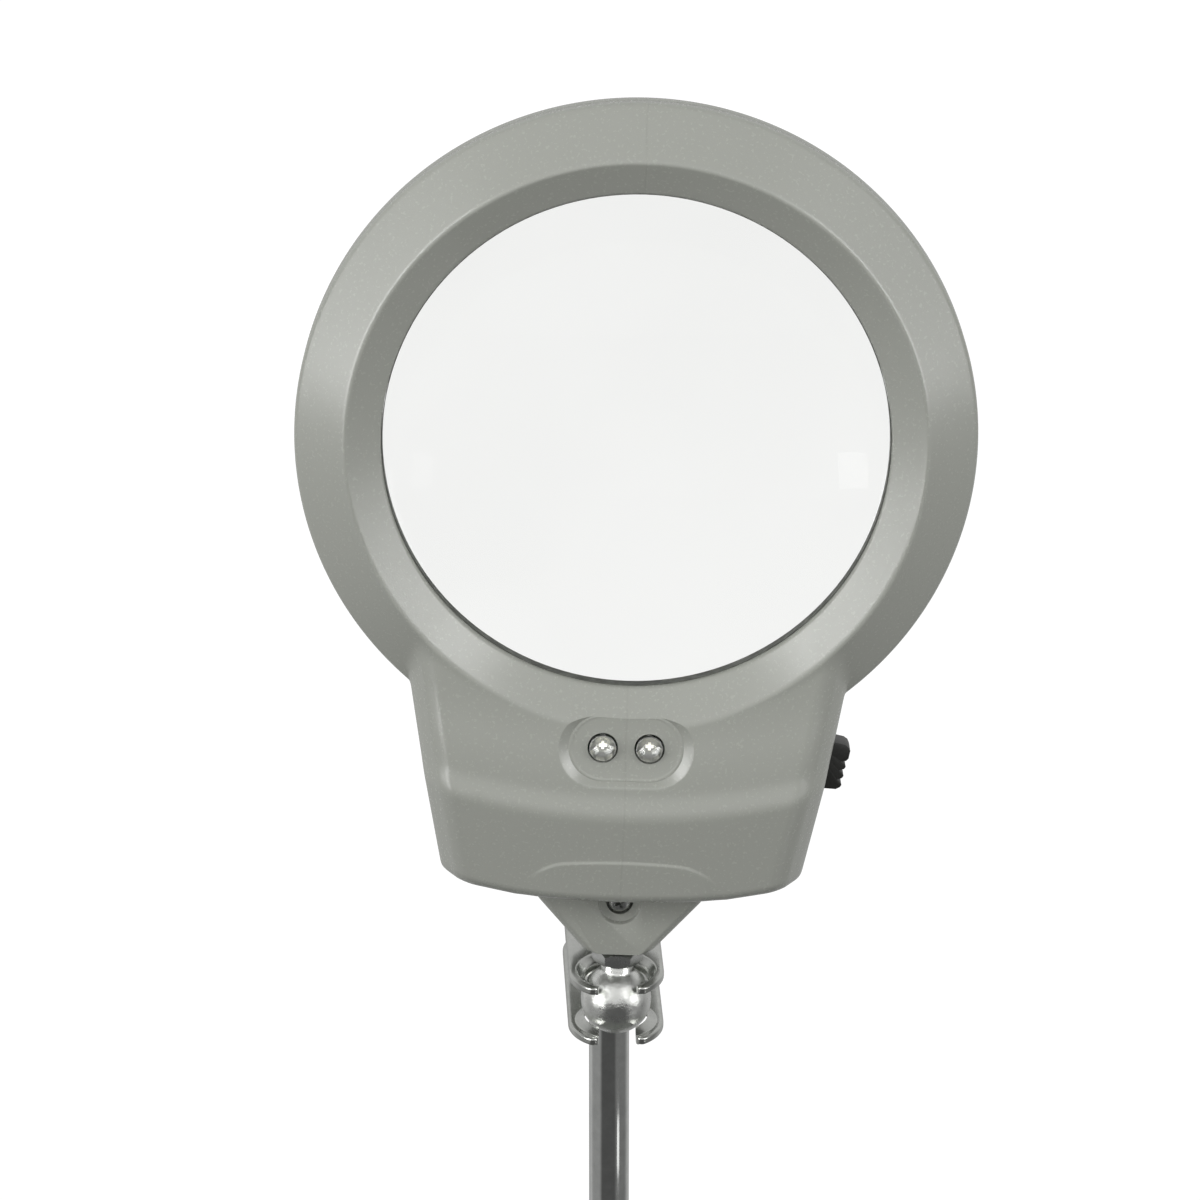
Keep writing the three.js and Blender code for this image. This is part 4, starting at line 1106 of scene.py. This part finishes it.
def make_stand():
    top = 153.7
    profile = fillet([(0, 4.2), (2.9, 4.2), (2.9, 25.8), (3.8, 25.8), (3.8, top), (2.75, top), (2.75, 143.2),
                      (0, 143.2)], [0, 0.4, 0.1, 0.4, 0.4, 0.3, 0, 0], 4)
    piece("rod_steel", lathe(profile, 96), ROD_AXIS, CHROME, "stand", "rod", sharp=35)
    levels = ((3.0, 3.0), (3.25, 2.4), (3.9, 1.2), (4.9, 0.35), (6.2, 0.0), (11.4, 0.0), (12.8, 0.35),
              (13.9, 1.1), (14.7, 2.2), (15.0, 3.6))
    base = loft([(rounded_rectangle(75 - inset, 50 - inset, 20 - inset), z) for z, inset in levels])
    boss = fillet([(0, 13), (17, 13), (17, 14.9), (12.4, 15.6), (11.0, 22.5), (10.2, 24), (0, 24)],
                  [0, 0, 0.4, 2.4, 1.0, 0.6, 0], 6)
    base = boolean(base, "UNION", moved(lathe(boss, 96), y=ROD_Y))
    cuts = [moved(cylinder(3.2, 0, 60, 48), y=ROD_Y), moved(cylinder(8.5, -1, 10, 48), y=ROD_Y)]
    cuts += [moved(cylinder(8.3, -1, 4.5, 48), x, y) for x in (-FOOT_X, FOOT_X) for y in (-FOOT_Y, FOOT_Y)]
    # a shallow tray pressed into the top, with a rounded rim
    tray = [(rounded_rectangle(67 - i, 42 - i, 14 - i), z) for i, z in ((2.2, 13.9), (1.2, 14.05), (0.4, 14.6),
                                                                       (0, 15.0), (-1.2, 16.5))]
    keep = moved(cylinder(20, 0, 30, 72), y=ROD_Y)
    cuts.append(cut(loft(tray), keep))
    base = cut(base, *cuts)
    piece("base_casting_enamel", base, GROUND, ENAMEL, "stand", "base_casting", sharp=40)
    for name, x, y in (("front_left", -FOOT_X, -FOOT_Y), ("front_right", FOOT_X, -FOOT_Y),
                       ("rear_left", -FOOT_X, FOOT_Y), ("rear_right", FOOT_X, FOOT_Y)):
        pad = [(0, 0), (3.5, 0), (3.5, 0.5), (5.2, 0.5), (5.2, 0), (6.8, 0), (8.0, 1.2), (8.0, 4.2), (0, 4.2)]
        pad = fillet(pad, [0, 0.1, 0.1, 0.1, 0.1, 0.2, 0.6, 0.2, 0], 3)
        piece(f"foot_{name}_rubber", moved(lathe(pad, 60), x, y), GROUND, RUBBER, "stand", f"foot_{name}")
    piece("rod_washer_steel", tube(7.5, 3.2, 24.3, 25.5, 72, 0.25), ROD_AXIS, ZINC, "stand", "rod_washer")
    ring = tube(5.5, 3.2, 8.3, 9.7, 64, 0.2)
    gap = block(2, 7, -0.3, 0.3, 7, 11)
    bm = cut(ring, moved(gap, turn=spin(20, "X")))
    piece("rod_spring_washer_steel", bm, ROD_AXIS, ZINC, "stand", "rod_spring_washer")
    piece("rod_nut_steel", hex_nut(10, 3.1, 4.8, 8.0), ROD_AXIS, ZINC, "stand", "rod_nut")


make_clamp()
make_balls()
make_stand()


# ---------- camera, light and floor ----------
scene = bpy.context.scene


camera = as_object(bpy.data.cameras.new("camera"), "camera")
camera.data.sensor_width = 36
camera.data.lens = 137.2
camera.data.clip_start = 0.01
camera.data.clip_end = 50
camera.location = HEAD_BALL + Vector((-0.0029, -0.7717, 0.3192))
camera.rotation_euler = (math.radians(90 - 17.5), 0, 0)
scene.camera = camera


def area_light(name, location, target, size, power):
    light = as_object(bpy.data.lights.new(name, "AREA"), name)
    light.data.shape = "RECTANGLE"
    light.data.size, light.data.size_y = size
    light.data.energy = power
    light.visible_camera = False
    light.location = location
    light.rotation_euler = (Vector(target) - light.location).to_track_quat("-Z", "Y").to_euler()
    return light


TARGET = Vector((0, 0, 0.24))


def softbox(name, toward, distance, size, power, lean=0.0):
    """A large soft light that far from the head, in that direction, its top leaning sideways by lean degrees."""
    light = area_light(name, TARGET + Vector(toward).normalized() * distance, TARGET, size, power)
    light.rotation_euler.rotate_axis("Z", math.radians(lean))


softbox("key", (-0.806, -0.5235, 0.276), 1.2, (0.26, 1.1), 6.7, lean=-32)
softbox("fill", (0.806, -0.5235, 0.276), 1.2, (0.24, 1.1), 5.5, lean=32)
softbox("front", (0, -0.87, 0.5), 2.0, (3.4, 2.4), 14.5)
softbox("low_left", (-0.738, -0.659, -0.125), 1.2, (0.24, 0.16), 1.0)
softbox("low_right", (0.738, -0.659, -0.125), 1.2, (0.16, 0.16), 0.3)
# a narrow bright edge low on the right, which shows only as a line in the rod
area_light("strip", (0.152, -0.089, 0.052), (0.003, 0.021, 0.128), (0.045, 0.018), 0.003)


def studio_world():
    """A bright back wall, grey sides and a dark camera side, as in a small photographic tent."""
    world = bpy.data.worlds.new("studio")
    w = Nodes(world)
    toward = w.add("ShaderNodeSeparateXYZ", Vector=w.add("ShaderNodeTexCoord").outputs["Generated"])

    def ramp(axis, *span):
        return w.remap(toward.outputs[axis], *span, {"interpolation_type": "SMOOTHSTEP"})

    left = ramp("X", -0.80, -0.56, 0.27, 0.01)
    right = ramp("X", 0.45, 0.68, 0, 0.12)
    back = ramp("Y", 0.1, 0.75, 0, 0.35)
    up = ramp("Z", -0.3, 0.9, 0.1, 0.42)
    total = w.maths("ADD", w.maths("ADD", left, right), w.maths("ADD", back, up))
    w.feed(w.tree.nodes["Background"], Color=(1, 1, 1, 1), Strength=total)
    return world


scene.world = studio_world()

floor_mesh = bpy.data.meshes.new("floor")
floor_mesh.from_pydata([(-6, -6, 0), (6, -6, 0), (6, 12, 0), (-6, 12, 0)], [], [(0, 1, 2, 3)])
floor = as_object(floor_mesh, "floor")
pale = Shader("pale_floor")
pale.set(Base_Color=(0.015, 0.015, 0.015, 1), Roughness=0.7, Emission_Color=(1, 1, 1, 1), Emission_Strength=1.0)
floor_mesh.materials.append(pale.material)
# the floor is seen, but the world's own shades light the lamp from below and show in its metal
floor.visible_diffuse = False
floor.visible_glossy = False

scene.view_settings.view_transform = "Standard"
